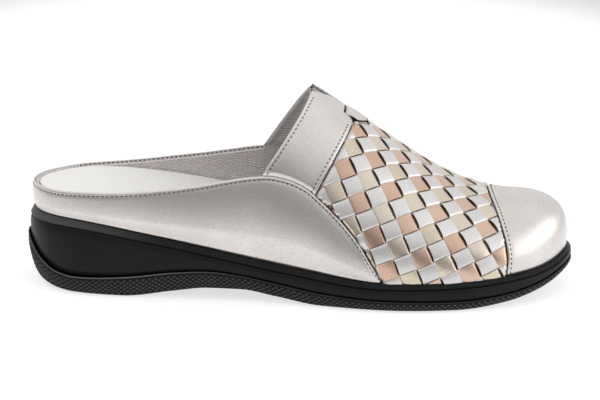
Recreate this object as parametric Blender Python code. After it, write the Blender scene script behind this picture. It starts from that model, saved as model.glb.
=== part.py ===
"""Woven clog for the right foot: a cupped wedge sole, a footbed and a hollow woven and leather upper.

Lengths are metres. X runs from heel to toe, +Y to the inner side of the foot, Z up from the floor.
Stations are measured from the rear of the sole along X.
"""

import math
from collections import namedtuple

import bmesh
import bpy
import numpy as np
from mathutils import Vector

MM = 0.001

# Driving dimensions
SKIN_LENGTH = 257.5 * MM      # the upper's outer skin at the sole, heel to toe
LEATHER = 1.2 * MM            # overlay leather
FIT = 0.3 * MM                # clearance between pieces that touch
BASE_WALL = 1.5 * MM          # lining and backing in one wall
SEAM_GAP = 0.6 * MM           # opening between two overlays, along the shoe
BASE_DEPTH = LEATHER + FIT    # skin to the outside of the base wall
FOOT_MIDDLE = 30.0 * MM       # height of the middle of the foot, inside the upper
FOOT_DEPTH = BASE_DEPTH + BASE_WALL + 2 * FIT

# Plan outline of the skin at the sole, toe pointing to +X and inner side +Y, in millimetres
Landmark = namedtuple("Landmark", "name station across")
OUTLINE = (
    Landmark("heel back", 3.5, 0.0),
    Landmark("outer heel corner", 12.0, -20.0),
    Landmark("outer heel", 34.0, -30.5),
    Landmark("outer heel front", 70.0, -32.5),
    Landmark("outer waist", 105.0, -34.5),
    Landmark("outer joint rear", 140.0, -41.0),
    Landmark("outer ball", 172.0, -46.5),
    Landmark("little toe", 205.0, -43.5),
    Landmark("outer toe", 236.0, -31.5),
    Landmark("outer toe front", 252.5, -17.0),
    Landmark("toe tip", 261.0, 4.5),
    Landmark("inner toe front", 253.5, 25.5),
    Landmark("big toe", 238.0, 36.5),
    Landmark("inner toe joint", 210.0, 42.5),
    Landmark("inner ball", 180.0, 44.5),
    Landmark("inner joint rear", 140.0, 36.0),
    Landmark("arch", 105.0, 29.5),
    Landmark("inner heel front", 70.0, 29.5),
    Landmark("inner heel", 34.0, 29.0),
    Landmark("inner heel corner", 12.0, 19.5),
)

# Sections of the last: heights of the sole joint and of the ridge, where the ridge lies across,
# how far the wall climbs before it turns in, how far the top runs flat, and the wall's outward lean
Section = namedtuple("Section", "station joint ridge across climb flat lean")
SECTIONS = (
    Section(3.5, 36.3, 122.0, 0.0, 0.55, 0.50, 8.0),
    Section(26.0, 36.1, 122.0, 0.0, 0.55, 0.50, 4.0),
    Section(54.0, 31.8, 121.0, 0.0, 0.60, 0.50, 2.5),
    Section(81.0, 26.3, 118.0, 0.5, 0.60, 0.50, 2.0),
    Section(108.0, 21.0, 111.0, 1.0, 0.60, 0.52, 3.0),
    Section(136.0, 16.8, 97.6, 2.0, 0.60, 0.55, 3.0),
    Section(160.0, 14.0, 81.6, 3.0, 0.57, 0.52, 4.0),
    Section(183.0, 13.6, 66.8, 4.5, 0.56, 0.50, 5.0),
    Section(206.0, 13.8, 54.6, 6.0, 0.60, 0.50, 5.0),
    Section(222.0, 14.5, 49.6, 7.0, 0.66, 0.52, 5.0),
    Section(236.0, 15.4, 48.3, 7.0, 0.70, 0.56, 4.0),
    Section(250.0, 17.2, 47.0, 7.0, 0.74, 0.60, 4.0),
    Section(257.0, 19.2, 45.0, 7.0, 0.75, 0.60, 4.0),
    Section(261.0, 20.8, 44.0, 7.0, 0.75, 0.60, 4.0),
)
RIDGE_REAR = 35.0 * MM        # the ridge is gathered to this station round the heel
RIDGE_FRONT = 234.0 * MM      # and to this one round the toe
RIDGE_GATHER = 7.0 * MM       # softness of that gathering

# Sole sections: height of the bottom edge and of the outsole's top edge
SoleSection = namedtuple("SoleSection", "station floor band")
SOLE = (
    SoleSection(0.0, 7.0, 24.0),
    SoleSection(4.0, 4.2, 18.8),
    SoleSection(8.0, 2.2, 14.6),
    SoleSection(16.0, 0.5, 10.3),
    SoleSection(24.0, 0.0, 9.0),
    SoleSection(48.0, 0.0, 10.4),
    SoleSection(72.0, 3.0, 13.2),
    SoleSection(88.0, 4.9, 14.1),
    SoleSection(104.0, 5.0, 12.7),
    SoleSection(120.0, 2.8, 10.1),
    SoleSection(142.0, 0.0, 6.8),
    SoleSection(168.0, 0.0, 5.3),
    SoleSection(206.0, 0.0, 5.0),
    SoleSection(231.0, 2.1, 6.9),
    SoleSection(246.0, 4.8, 9.6),
    SoleSection(256.0, 7.4, 12.8),
    SoleSection(262.0, 9.4, 14.8),
)

# Rings up the side of each sole piece: how far outside the skin, and the share of the band's height
Ring = namedtuple("Ring", "name outset share")
OUTSOLE_RINGS = (
    Ring("resting face", -7.0, 0.0),
    Ring("bottom edge", -1.2, 0.03),
    Ring("lower side", 1.7, 0.33),
    Ring("bulge", 2.8, 0.70),
    Ring("top edge", 2.6, 1.0),
    Ring("bed", -4.0, 1.0),
)
HEEL_BULGE = 1.0              # extra outset of the outsole's bulge at the rear, in millimetres
HEEL_BULGE_RUN = 30.0         # how far along the shoe that extra outset fades, in millimetres

# Midsole wall from its lip to its foot: outset, drop below the joint in lip heights, share of the rest
WallRing = namedtuple("WallRing", "name outset lips share")
MIDSOLE_RINGS = (
    WallRing("platform", -4.0, 0.0, 0.0),
    WallRing("lip top", 0.3, 0.0, 0.0),
    WallRing("lip edge", 2.3, 1.0, 0.0),
    WallRing("groove", 1.3, 1.25, 0.05),
    WallRing("wall top", 2.2, 1.5, 0.12),
    WallRing("wall middle", 2.5, 1.5, 0.55),
    WallRing("wall foot", 1.9, 1.5, 1.0),
    WallRing("bed", -4.0, 1.5, 1.0),
)
LIP_HEEL = 3.2 * MM           # height of the lip at the heel
LIP_TOE = 1.6 * MM            # and at the toe

# Footbed heights above the sole joint: outer edge, centre, inner edge
FootbedSection = namedtuple("FootbedSection", "station outer centre inner")
FOOTBED = (
    FootbedSection(3.5, 11.5, 10.0, 11.5),
    FootbedSection(30.0, 12.3, 9.6, 13.0),
    FootbedSection(54.0, 12.5, 9.4, 14.6),
    FootbedSection(81.0, 12.3, 9.2, 17.0),
    FootbedSection(108.0, 9.5, 7.5, 16.5),
    FootbedSection(136.0, 6.5, 5.0, 10.0),
    FootbedSection(160.0, 4.6, 3.6, 5.6),
    FootbedSection(190.0, 4.0, 3.2, 4.2),
    FootbedSection(230.0, 3.8, 3.0, 3.8),
    FootbedSection(261.0, 3.6, 3.2, 3.6),
)
FOOTBED_CUP = (-0.8, -0.45, 0.0, 0.45, 0.8)   # shares across the footbed where its cup is sampled
CUP_SPAN = 45.0 * MM          # width of the footbed from which its cup has its full depth

# Edges and seams as they lie in the side view, station and height in millimetres
Edge = namedtuple("Edge", "station height")
TOPLINE = (
    Edge(0.0, 49.0), Edge(12.0, 49.1), Edge(26.0, 49.9), Edge(45.0, 50.8), Edge(63.0, 52.3),
    Edge(81.0, 54.7), Edge(98.0, 58.2), Edge(107.0, 59.9), Edge(112.5, 60.6),
)
THROAT_FOOT = Edge(112.5, 60.6)
THROAT_TOP = Edge(136.6, 97.6)
QUARTER_FRONT = (
    Edge(112.5, 60.6), Edge(116.0, 60.8), Edge(125.0, 59.4), Edge(134.0, 55.8), Edge(140.0, 51.1),
    Edge(149.0, 43.0), Edge(158.0, 32.6), Edge(164.6, 22.2), Edge(170.3, 13.0),
)
BAND_FRONT = (Edge(138.1, 53.4), Edge(142.5, 61.5), Edge(148.5, 71.8), Edge(156.7, 83.8))
CAP_SEAM = (
    Edge(228.8, 12.0), Edge(229.6, 21.4), Edge(228.8, 29.0), Edge(226.6, 37.0), Edge(224.3, 43.0),
    Edge(222.2, 47.0), Edge(220.6, 50.5),
)

QUARTER_TIP = 0.002           # share of the side left off the quarter's pointed front

# Notches of the instep band on the ridge
NOTCH_GIRTH = 0.12            # share of the profile from the ridge down where a notch starts
NOTCH_FILL = 0.9              # share of that girth covered by the piece in a notch
NOTCH_CLEAR = 0.045           # share of the band's width left open round that piece
NOTCH_TIP = 0.002             # least share of the band's width of that piece
REAR_NOTCH = 0.48             # share of the band's width taken by the throat notch
FRONT_NOTCH = 0.27            # share taken by the front notch

# Weave
STRIP_PITCH = 8.58 * MM       # one strip to the next
STRIP_BIAS = math.radians(46.5)
WEAVE_SLOPE = math.radians(24.0)   # fall of the weave's own axis from heel to toe
STRIP_CROWN = 0.5 * MM        # strip above the skin
STRIP_VALLEY = 0.6 * MM       # furrow below the skin
STRIP_EDGE = 0.22             # share of the pitch from a furrow to a strip's flat
WEAVE_REACH = 18              # strips laid out to either side of the middle
WEAVE_MIDDLE = 148.5 * MM     # distance of the weave's middle corner along its axis
WEAVE_TURN = -34.5 * MM       # and its girth from the ridge, towards the outer side
WEAVE_REAR = 90.0 * MM        # the sheet is laid out from this distance along its axis
WEAVE_FRONT = 196.0 * MM      # to this one on the ridge
WEAVE_FLARE = 0.30            # and further with the girth, by this share of it
WEAVE_GIRTH = 100.0 * MM      # girth laid out to either side of the ridge
WINDOW_RISE = 3.0 * MM        # height over the skin of the block that trims the weave

# Fineness of the meshes
NORMAL_STEP = 1e-4            # step in share and level used to find the skin's normal
ROOT_STEPS = 32
WELD = 0.5e-6
HEEL_EASE = 0.75              # closeness of the columns round the heel
RIDGE_LIMIT = 0.8             # share beyond which the throat's top is not looked for
NOTCH_ROWS = 4
HEEL_COLUMNS = 14
THROAT_COLUMNS = 7
VAMP_COLUMNS = 11
TOE_COLUMNS = 10
UPPER_ROWS = 6
QUARTER_ROWS = 4
PATCH_ROWS = 10
PATCH_COLUMNS = 6
CAP_COLUMNS = 9


class Spline:
    """Natural cubic spline through values at rising knots."""

    def __init__(self, knots, values):
        self.knots = np.asarray(knots, float)
        self.values = np.asarray(values, float)
        gaps = np.diff(self.knots)
        slopes = np.diff(self.values) / gaps
        matrix = np.eye(len(self.knots))
        right = np.zeros(len(self.knots))
        for row in range(1, len(self.knots) - 1):
            matrix[row, row - 1] = gaps[row - 1]
            matrix[row, row] = 2 * (gaps[row - 1] + gaps[row])
            matrix[row, row + 1] = gaps[row]
            right[row] = 6 * (slopes[row] - slopes[row - 1])
        self.bends = np.linalg.solve(matrix, right)

    def __call__(self, at):
        at = np.clip(np.asarray(at, float), self.knots[0], self.knots[-1])
        left = np.clip(np.searchsorted(self.knots, at, side="right") - 1, 0, len(self.knots) - 2)
        gap = self.knots[left + 1] - self.knots[left]
        near = (self.knots[left + 1] - at) / gap
        far = 1 - near
        bend = (near ** 3 - near) * self.bends[left] + (far ** 3 - far) * self.bends[left + 1]
        return near * self.values[left] + far * self.values[left + 1] + bend * gap ** 2 / 6


class HeldLine:
    """Cubic line through values at rising knots that never overshoots them, so flats stay flat."""

    def __init__(self, knots, values):
        self.knots = np.asarray(knots, float)
        self.values = np.asarray(values, float)
        slopes = np.diff(self.values) / np.diff(self.knots)
        tangents = np.zeros(len(self.knots))
        tangents[0] = slopes[0]
        tangents[-1] = slopes[-1]
        for row in range(1, len(self.knots) - 1):
            if slopes[row - 1] * slopes[row] > 0:
                tangents[row] = 2 / (1 / slopes[row - 1] + 1 / slopes[row])
        self.tangents = tangents

    def __call__(self, at):
        at = np.clip(np.asarray(at, float), self.knots[0], self.knots[-1])
        left = np.clip(np.searchsorted(self.knots, at, side="right") - 1, 0, len(self.knots) - 2)
        gap = self.knots[left + 1] - self.knots[left]
        way = (at - self.knots[left]) / gap
        rise = way * way * (3 - 2 * way)
        leave = way * (1 - way) ** 2
        reach = way * way * (way - 1)
        bent = leave * self.tangents[left] + reach * self.tangents[left + 1]
        return self.values[left] * (1 - rise) + self.values[left + 1] * rise + bent * gap


def column(table, name, line=Spline, key="station"):
    """One column of a millimetre table as a line over the station, in metres."""
    knots = [getattr(row, key) * MM for row in table]
    return line(knots, [getattr(row, name) * MM for row in table])


def share_column(table, name):
    """A column of plain shares or degrees as a line over the station in metres."""
    return Spline([row.station * MM for row in table], [getattr(row, name) for row in table])


class PlanEdge:
    """The closed plan outline split at heel and toe, each side run by its share of arc length."""

    SAMPLES = 200
    WRAP = 4

    def __init__(self, table):
        points = np.array([(row.station, row.across) for row in table]) * MM
        points = np.vstack([points[-self.WRAP:], points, points[:self.WRAP + 1]])
        knots = np.concatenate([[0], np.cumsum(np.hypot(*np.diff(points, axis=0).T))])
        fine = np.linspace(knots[self.WRAP], knots[-self.WRAP - 1], len(table) * self.SAMPLES + 1)[:-1]
        x_line = Spline(knots, points[:, 0])(fine)
        y_line = Spline(knots, points[:, 1])(fine)
        start = int(np.argmin(x_line))
        loop = np.roll(np.column_stack([x_line, y_line]), -start, axis=0)
        loop = np.vstack([loop, loop[:1]])
        tip = int(np.argmax(loop[:, 0]))
        self.sides = {-1: self.by_share(loop[:tip + 1]), 1: self.by_share(loop[tip:][::-1])}

    @staticmethod
    def by_share(points):
        run = np.concatenate([[0], np.cumsum(np.hypot(*np.diff(points, axis=0).T))])
        tangent = np.gradient(points, run, axis=0)
        tangent /= np.linalg.norm(tangent, axis=1)[:, None]
        return run / run[-1], points, tangent

    def point(self, side, share, outset=0.0):
        """Plan position on one side at a share from heel to toe, moved outward by the outset."""
        shares, points, tangent = self.sides[side]
        x = np.interp(share, shares, points[:, 0])
        y = np.interp(share, shares, points[:, 1])
        out_x = -side * np.interp(share, shares, tangent[:, 1])
        out_y = side * np.interp(share, shares, tangent[:, 0])
        ends = (np.asarray(share) <= 0) | (np.asarray(share) >= 1)
        out_y = np.where(ends, 0.0, out_y)
        length = np.hypot(out_x, out_y)
        return x + outset * out_x / length, y + outset * out_y / length


plan = PlanEdge(OUTLINE)
joint_line = column(SECTIONS, "joint")
ridge_line = column(SECTIONS, "ridge")
ridge_across = column(SECTIONS, "across")
climb_line = share_column(SECTIONS, "climb")
flat_line = share_column(SECTIONS, "flat")
lean_line = share_column(SECTIONS, "lean")
floor_line = column(SOLE, "floor", HeldLine)
band_line = column(SOLE, "band", HeldLine)
topline = column(TOPLINE, "height", HeldLine)
quarter_front = column(QUARTER_FRONT, "height", HeldLine)
band_front = HeldLine([row.height * MM for row in BAND_FRONT], [row.station * MM for row in BAND_FRONT])
cap_seam = HeldLine([row.height * MM for row in CAP_SEAM], [row.station * MM for row in CAP_SEAM])
quarter_seam = HeldLine([row.height * MM for row in QUARTER_FRONT[:1:-1]],
                        [row.station * MM for row in QUARTER_FRONT[:1:-1]])
footbed_outer = column(FOOTBED, "outer")
footbed_centre = column(FOOTBED, "centre")
footbed_inner = column(FOOTBED, "inner")


def gather(station):
    """Station of the ridge that belongs to a station at the sole, drawn in round heel and toe."""
    toe = RIDGE_GATHER * np.logaddexp(0, (station - RIDGE_FRONT) / RIDGE_GATHER)
    heel = RIDGE_GATHER * np.logaddexp(0, (RIDGE_REAR - station) / RIDGE_GATHER)
    return station - toe + heel


def last_point(side, share, level):
    """Skin of the last: share runs from heel to toe, level from the sole joint (0) to the ridge (1)."""
    share = np.asarray(share, float)
    level = np.asarray(level, float)
    x, y = plan.point(side, share)
    middle = 0.5 * (x + plan.point(-side, share)[0])
    ridge_x = gather(middle)
    foot = np.stack([x, y, joint_line(x) + FIT], axis=-1)
    top = np.stack([ridge_x, ridge_across(ridge_x), ridge_line(ridge_x)], axis=-1)
    inward = top - foot
    inward[..., 2] = 0
    reach = np.linalg.norm(inward, axis=-1)
    climb = climb_line(middle) * (top[..., 2] - foot[..., 2])
    wall = foot.copy()
    wall[..., 2] += climb
    wall -= inward * (climb * np.tan(np.radians(lean_line(middle))) / reach)[..., None]
    brow = top - inward * flat_line(middle)[..., None]
    near = (1 - level)[..., None]
    far = level[..., None]
    return foot * near ** 3 + 3 * wall * near ** 2 * far + 3 * brow * near * far ** 2 + top * far ** 3


def skin_point(side, share, level, depth=0.0):
    """Point below the skin by the depth, along the skin's own normal."""
    step = NORMAL_STEP
    share = np.asarray(share, float)
    level = np.asarray(level, float)
    here = last_point(side, share, level)
    along = last_point(side, np.clip(share + step, 0, 1), level)
    along = along - last_point(side, np.clip(share - step, 0, 1), level)
    ends = ((share <= step) | (share >= 1 - step))[..., None]
    turn = np.where(share[..., None] < 0.5, 1.0, -1.0)
    along = np.where(ends, np.array([0.0, side, 0.0]) * turn, along)
    up = last_point(side, share, level + step) - last_point(side, share, level - step)
    normal = np.cross(along, up) * -side
    normal = normal / np.linalg.norm(normal, axis=-1)[..., None]
    return here - normal * np.asarray(depth)[..., None]


def solve(gap, low, high):
    """Root of a function that changes sign once between low and high."""
    start = gap(low)
    for _ in range(ROOT_STEPS):
        middle = 0.5 * (low + high)
        if (gap(middle) > 0) == (start > 0):
            low = middle
        else:
            high = middle
    return 0.5 * (low + high)


def share_at(side, station):
    """Share of the way round one side where its sole joint reaches a station."""
    shares, points, _ = plan.sides[side]
    return float(np.interp(station, points[:, 0], shares))


def throat_height(station):
    """Height of the collar edge: the topline, then the straight throat up to the ridge."""
    fall = (THROAT_TOP.height - THROAT_FOOT.height) / (THROAT_TOP.station - THROAT_FOOT.station)
    return np.where(station < THROAT_FOOT.station * MM, topline(station),
                    THROAT_FOOT.height * MM + (station - THROAT_FOOT.station * MM) * fall)


def quarter_height(station):
    """Height of the quarter's upper edge: the topline, then its front edge down to the sole."""
    return np.where(station < THROAT_FOOT.station * MM, topline(station), quarter_front(station))


def level_at(side, share, edge):
    """Level where a profile meets an edge given as height over station, or the ridge itself."""
    def gap(level):
        point = last_point(side, share, level)
        return edge(point[0]) - point[2]
    if gap(1.0) > 0:
        return 1.0
    return solve(gap, 0.0, 1.0)


def share_on(side, level, seam, start=0.3):
    """Share where a line of constant level meets a seam given as station over height."""
    def gap(share):
        point = last_point(side, share, level)
        return point[0] - seam(point[2])
    return solve(gap, start, 1.0)


def throat_seam(height):
    """Station of the throat edge at a height."""
    run = (THROAT_TOP.station - THROAT_FOOT.station) / (THROAT_TOP.height - THROAT_FOOT.height)
    return THROAT_FOOT.station * MM + (height - THROAT_FOOT.height * MM) * run


def window_rear(height):
    """Rear seam of the woven part: the quarter's front edge, then the instep band's."""
    return np.where(height < BAND_FRONT[0].height * MM - FIT, quarter_seam(height), band_front(height))


FRAME_SHIFT = np.zeros(3)


def set_frame():
    """Move the frame to the middle of the sole's outline, on the floor."""
    sides = [np.column_stack(plan.point(side, plan.sides[side][0], OUTSOLE_RINGS[3].outset * MM))
             for side in (-1, 1)]
    both = np.vstack(sides)
    rear = plan.point(-1, 0.0, (OUTSOLE_RINGS[3].outset + HEEL_BULGE) * MM)[0]
    FRAME_SHIFT[0] = -0.5 * (float(rear) + both[:, 0].max())
    FRAME_SHIFT[1] = -0.5 * (both[:, 1].min() + both[:, 1].max())


MATERIALS = {
    "outsole": ((0.012, 0.012, 0.013), 0.0, 0.62),
    "midsole": ((0.016, 0.016, 0.017), 0.0, 0.45),
    "insole": ((0.72, 0.69, 0.66), 0.0, 0.85),
    "upper": ((0.42, 0.39, 0.40), 0.0, 0.9),
    "quarter": ((0.60, 0.59, 0.57), 0.85, 0.38),
    "instep_band": ((0.60, 0.59, 0.57), 0.85, 0.38),
    "toe_cap": ((0.60, 0.59, 0.57), 0.85, 0.38),
    "woven_vamp": ((0.62, 0.50, 0.42), 0.85, 0.36),
    "gore": ((0.40, 0.40, 0.41), 0.0, 0.9),
    "instep_tab": ((0.66, 0.65, 0.63), 0.85, 0.34),
}


def new_object(name, mesh_maker):
    """Add one named object with its own material from a bmesh, faces turned outward."""
    bmesh.ops.remove_doubles(mesh_maker, verts=mesh_maker.verts, dist=WELD)
    bmesh.ops.dissolve_degenerate(mesh_maker, edges=mesh_maker.edges, dist=WELD)
    bmesh.ops.recalc_face_normals(mesh_maker, faces=mesh_maker.faces)
    closed = not any(edge.is_boundary for edge in mesh_maker.edges)
    if closed and mesh_maker.calc_volume(signed=True) < 0:
        bmesh.ops.reverse_faces(mesh_maker, faces=mesh_maker.faces)
    mesh = bpy.data.meshes.new(name)
    mesh_maker.to_mesh(mesh)
    mesh_maker.free()
    piece = bpy.data.objects.new(name, mesh)
    bpy.context.scene.collection.objects.link(piece)
    colour, metallic, roughness = MATERIALS.get(name, MATERIALS["upper"])
    material = bpy.data.materials.new(name)
    material.use_nodes = True
    shader = material.node_tree.nodes["Principled BSDF"]
    shader.inputs["Base Color"].default_value = (*colour, 1.0)
    shader.inputs["Metallic"].default_value = metallic
    shader.inputs["Roughness"].default_value = roughness
    mesh.materials.append(material)
    return piece


def add_grid(maker, points):
    """Quads over a grid of points, skipping corners that fall together."""
    rows = [[maker.verts.new(np.asarray(point) + FRAME_SHIFT) for point in row] for row in points]
    for upper_row, lower_row in zip(rows, rows[1:]):
        for index in range(len(upper_row) - 1):
            maker.faces.new((upper_row[index], upper_row[index + 1], lower_row[index + 1], lower_row[index]))


def loft(name, loops):
    """Closed body through loops of points; the first and last loops fold onto themselves."""
    maker = bmesh.new()
    add_grid(maker, [list(loop) + [loop[0]] for loop in loops])
    return new_object(name, maker)


def faces_inward(mesh):
    """Whether a skin's faces look, on the whole, towards the middle of the foot."""
    total = 0.0
    for face in mesh.polygons:
        away = face.center - Vector((face.center.x, 0.0, FOOT_MIDDLE))
        total += face.area * face.normal.dot(away)
    return total < 0


def shell(name, grids, thickness):
    """Thin solid grown inward from a skin made of grids that share their borders."""
    maker = bmesh.new()
    for grid in grids:
        add_grid(maker, grid)
    piece = new_object(name, maker)
    if faces_inward(piece.data):
        piece.data.flip_normals()
    wall = piece.modifiers.new("wall", "SOLIDIFY")
    wall.thickness = thickness
    wall.offset = -1.0
    wall.use_even_offset = True
    wall.use_quality_normals = True
    return piece


def column_shares():
    """Stations of the columns, shared by the sole, the footbed and the walls."""
    corner = share_at(-1, THROAT_FOOT.station * MM)
    def ridge_gap(share):
        point = last_point(-1, share, 1.0)
        return throat_height(point[0]) - point[2]
    top = solve(ridge_gap, corner, RIDGE_LIMIT)
    seam = share_at(-1, CAP_SEAM[0].station * MM)
    heel = corner * (1 - np.cos(np.linspace(0, math.pi / 2, HEEL_COLUMNS))) ** HEEL_EASE
    throat = np.linspace(corner, top, THROAT_COLUMNS)
    vamp = np.linspace(top, seam, VAMP_COLUMNS)
    toe = np.linspace(seam, 1.0, TOE_COLUMNS)
    return np.concatenate([heel, throat[1:], vamp[1:], toe[1:]]), top


def sole_loops(shares, rings, height):
    """Loops across the sole, up the outer side, over the top and down the inner side."""
    loops = []
    for share in shares:
        loop = []
        for side, order in ((-1, rings), (1, rings[::-1])):
            for ring in order:
                outset = ring.outset * MM
                if ring.name == "bulge":
                    rear = plan.point(side, share)[0] / MM
                    outset += HEEL_BULGE * MM * math.exp(-(rear / HEEL_BULGE_RUN) ** 2)
                x, y = plan.point(side, share, outset)
                loop.append((float(x), float(y), float(height(ring, x))))
        loops.append(loop)
    return loops


def outsole_height(ring, station):
    floor = floor_line(station)
    return floor + ring.share * (band_line(station) - floor)


def midsole_height(ring, station):
    joint = joint_line(station)
    lip = LIP_HEEL + (LIP_TOE - LIP_HEEL) * station / SKIN_LENGTH
    foot = band_line(station) + FIT
    drop = joint - ring.lips * lip
    if ring.name == "bed":
        return foot
    return drop + ring.share * (foot - drop)


def make_insole(shares):
    """Footbed: sides follow the inside of the wall, the top is cupped and raised at the arch."""
    loops = []
    for share in shares:
        edges = {}
        for side, rise in ((-1, footbed_outer), (1, footbed_inner)):
            foot = skin_point(side, share, 0.0, FOOT_DEPTH)
            station = plan.point(side, share)[0]
            goal = joint_line(station) + rise(station)
            level = solve(lambda at: goal - last_point(side, share, at)[2], 0.0, 0.9)
            edges[side] = (foot, skin_point(side, share, level, FOOT_DEPTH))
        outer_foot, outer_top = edges[-1]
        inner_foot, inner_top = edges[1]
        loop = [outer_foot, outer_top]
        fullness = min(1.0, np.linalg.norm(inner_top - outer_top) / CUP_SPAN)
        for across in FOOTBED_CUP:
            way = 0.5 * (across + 1)
            point = outer_top * (1 - way) + inner_top * way
            centre = joint_line(point[0]) + footbed_centre(point[0])
            point[2] += fullness * (centre - point[2]) * (1 - across ** 2)
            loop.append(point)
        loop += [inner_top, inner_foot]
        loops.append(loop)
    return loft("insole", loops)


def make_upper(shares, throat_top):
    """Base wall: open collar and throat, open underneath."""
    grids = []
    for side in (-1, 1):
        grid = []
        for share in shares:
            top = 1.0 if share >= throat_top - 1e-6 else level_at(side, share, throat_height)
            grid.append([skin_point(side, share, level, BASE_DEPTH) for level in
                         np.linspace(0.0, top, UPPER_ROWS + 1)])
        grids.append(grid)
    return shell("upper", grids, BASE_WALL)


def make_quarter(shares):
    """Heel wrap from the sole to the collar, its front edge slanting down to the sole."""
    grids = []
    for side in (-1, 1):
        tip = share_at(side, QUARTER_FRONT[-1].station * MM)
        grid = []
        for share in [share for share in shares if share < tip - 2 * QUARTER_TIP] + [tip - QUARTER_TIP]:
            top = level_at(side, share, quarter_height)
            grid.append([skin_point(side, share, level) for level in np.linspace(0.0, top, QUARTER_ROWS + 1)])
        grids.append(grid)
    return shell("quarter", grids, LEATHER)


def make_toe_cap():
    """Cap from its seam round the toe."""
    grids = []
    for side in (-1, 1):
        grid = []
        for level in np.linspace(0.0, 1.0, PATCH_ROWS + 1):
            start = share_on(side, level, lambda height: cap_seam(height) + 0.5 * SEAM_GAP)
            shares = np.linspace(start, 1.0, CAP_COLUMNS)
            grid.append([skin_point(side, share, level) for share in shares])
        grids.append(grid)
    return shell("toe_cap", grids, LEATHER)


def notch(level, depth):
    """Share of the band's width lost to a notch at a level near the ridge."""
    return depth * np.clip(1 - (1 - level) / NOTCH_GIRTH, 0, 1)


def band_limits(side, level):
    """Shares of the rear and front edge of the instep band before its notches are taken out."""
    rear = share_on(side, level, throat_seam)
    front = share_on(side, level, lambda height: band_front(height) - 0.5 * SEAM_GAP)
    return rear, front


def band_share(side, level, across):
    """Share at a place across the instep band, notches taken out."""
    rear, front = band_limits(side, level)
    width = front - rear
    start = rear + width * notch(level, REAR_NOTCH)
    end = front - width * notch(level, FRONT_NOTCH)
    return start + (end - start) * across


def make_instep_band():
    """Strap from quarter to quarter over the instep, notched on the ridge at both edges."""
    grids = []
    for side in (-1, 1):
        grid = []
        for across in np.linspace(0.0, 1.0, PATCH_COLUMNS + 1):
            def gap(level):
                point = last_point(side, band_share(side, level, across), level)
                return quarter_height(point[0]) + SEAM_GAP - point[2]
            low = solve(gap, 0.2, 0.9)
            knee = 1 - NOTCH_GIRTH
            levels = np.concatenate([np.linspace(low, knee, PATCH_ROWS - 1),
                                     np.linspace(knee, 1.0, NOTCH_ROWS)[1:]])
            grid.append([skin_point(side, band_share(side, level, across), level) for level in levels])
        grids.append(grid)
    return shell("instep_band", grids, LEATHER)


def make_notch_piece(name, depth, rear):
    """Small piece that fills one notch of the instep band, a seam gap clear of it."""
    grids = []
    for side in (-1, 1):
        grid = []
        for way in np.linspace(0.0, 1.0, NOTCH_ROWS + 1):
            knee = 1 - NOTCH_GIRTH * NOTCH_FILL
            level = knee + (1 - knee) * way
            back, front = band_limits(side, level)
            width = front - back
            taken = width * max(notch(level, depth) - NOTCH_CLEAR, NOTCH_TIP)
            if rear:
                row = np.linspace(back, back + taken, NOTCH_ROWS)
            else:
                row = np.linspace(front - taken, front, NOTCH_ROWS)
            grid.append([skin_point(side, share, level) for share in row])
        grids.append(grid)
    return shell(name, grids, LEATHER)


class WeaveMap:
    """Places on the skin by distance along the weave's sloping axis and girth from the ridge."""

    LEVELS = np.linspace(-0.6, 1.0, 81)
    SHARES = np.linspace(0.3, 1.0, 100)

    def __init__(self, side):
        self.side = side
        shares, levels = np.meshgrid(self.SHARES, self.LEVELS)
        axis = np.array([math.cos(WEAVE_SLOPE), 0.0, -math.sin(WEAVE_SLOPE)])
        self.run = np.maximum.accumulate(last_point(side, shares, levels) @ axis, axis=1)

    def place(self, along, girth):
        """Share and level at a distance along the axis and a girth down from the ridge."""
        shares = np.array([np.interp(along, row, self.SHARES) for row in self.run])
        points = last_point(self.side, shares, self.LEVELS)
        steps = np.linalg.norm(np.diff(points, axis=0), axis=1)
        down = np.concatenate([[0], np.cumsum(steps[::-1])])[::-1]
        level = np.interp(-girth, -down, self.LEVELS)
        return float(np.interp(level, self.LEVELS, shares)), float(level)


def weave_place(first, second):
    """Distance along the weave's axis and signed girth of a crossing given in strips."""
    along = first * math.cos(STRIP_BIAS) - second * math.sin(STRIP_BIAS)
    girth = first * math.sin(STRIP_BIAS) + second * math.cos(STRIP_BIAS)
    return WEAVE_MIDDLE + STRIP_PITCH * along, WEAVE_TURN + STRIP_PITCH * girth


def weave_cells():
    """Crossings whose four corners lie where the weave is laid out."""
    cells = set()
    for first in range(-WEAVE_REACH, WEAVE_REACH):
        for second in range(-WEAVE_REACH, WEAVE_REACH):
            corners = [weave_place(first + right, second + up) for right in (0, 1) for up in (0, 1)]
            if all(WEAVE_REAR < along < WEAVE_FRONT + WEAVE_FLARE * abs(girth) and abs(girth) < WEAVE_GIRTH
                   for along, girth in corners):
                cells.add((first, second))
    return cells


def make_window():
    """Block over the woven part, from under the strips to well above them."""
    grids = []
    for side in (-1, 1):
        grid = []
        for level in np.linspace(0.0, 1.0, 2 * PATCH_ROWS + 1):
            rear = share_on(side, level, lambda height: window_rear(height) + SEAM_GAP)
            front = share_on(side, level, lambda height: cap_seam(height) - 0.5 * SEAM_GAP)
            grid.append([skin_point(side, share, level, -WINDOW_RISE)
                         for share in np.linspace(rear, front, PATCH_COLUMNS + 1)])
        grids.append(grid)
    return shell("weave window", grids, WINDOW_RISE + LEATHER)


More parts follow.
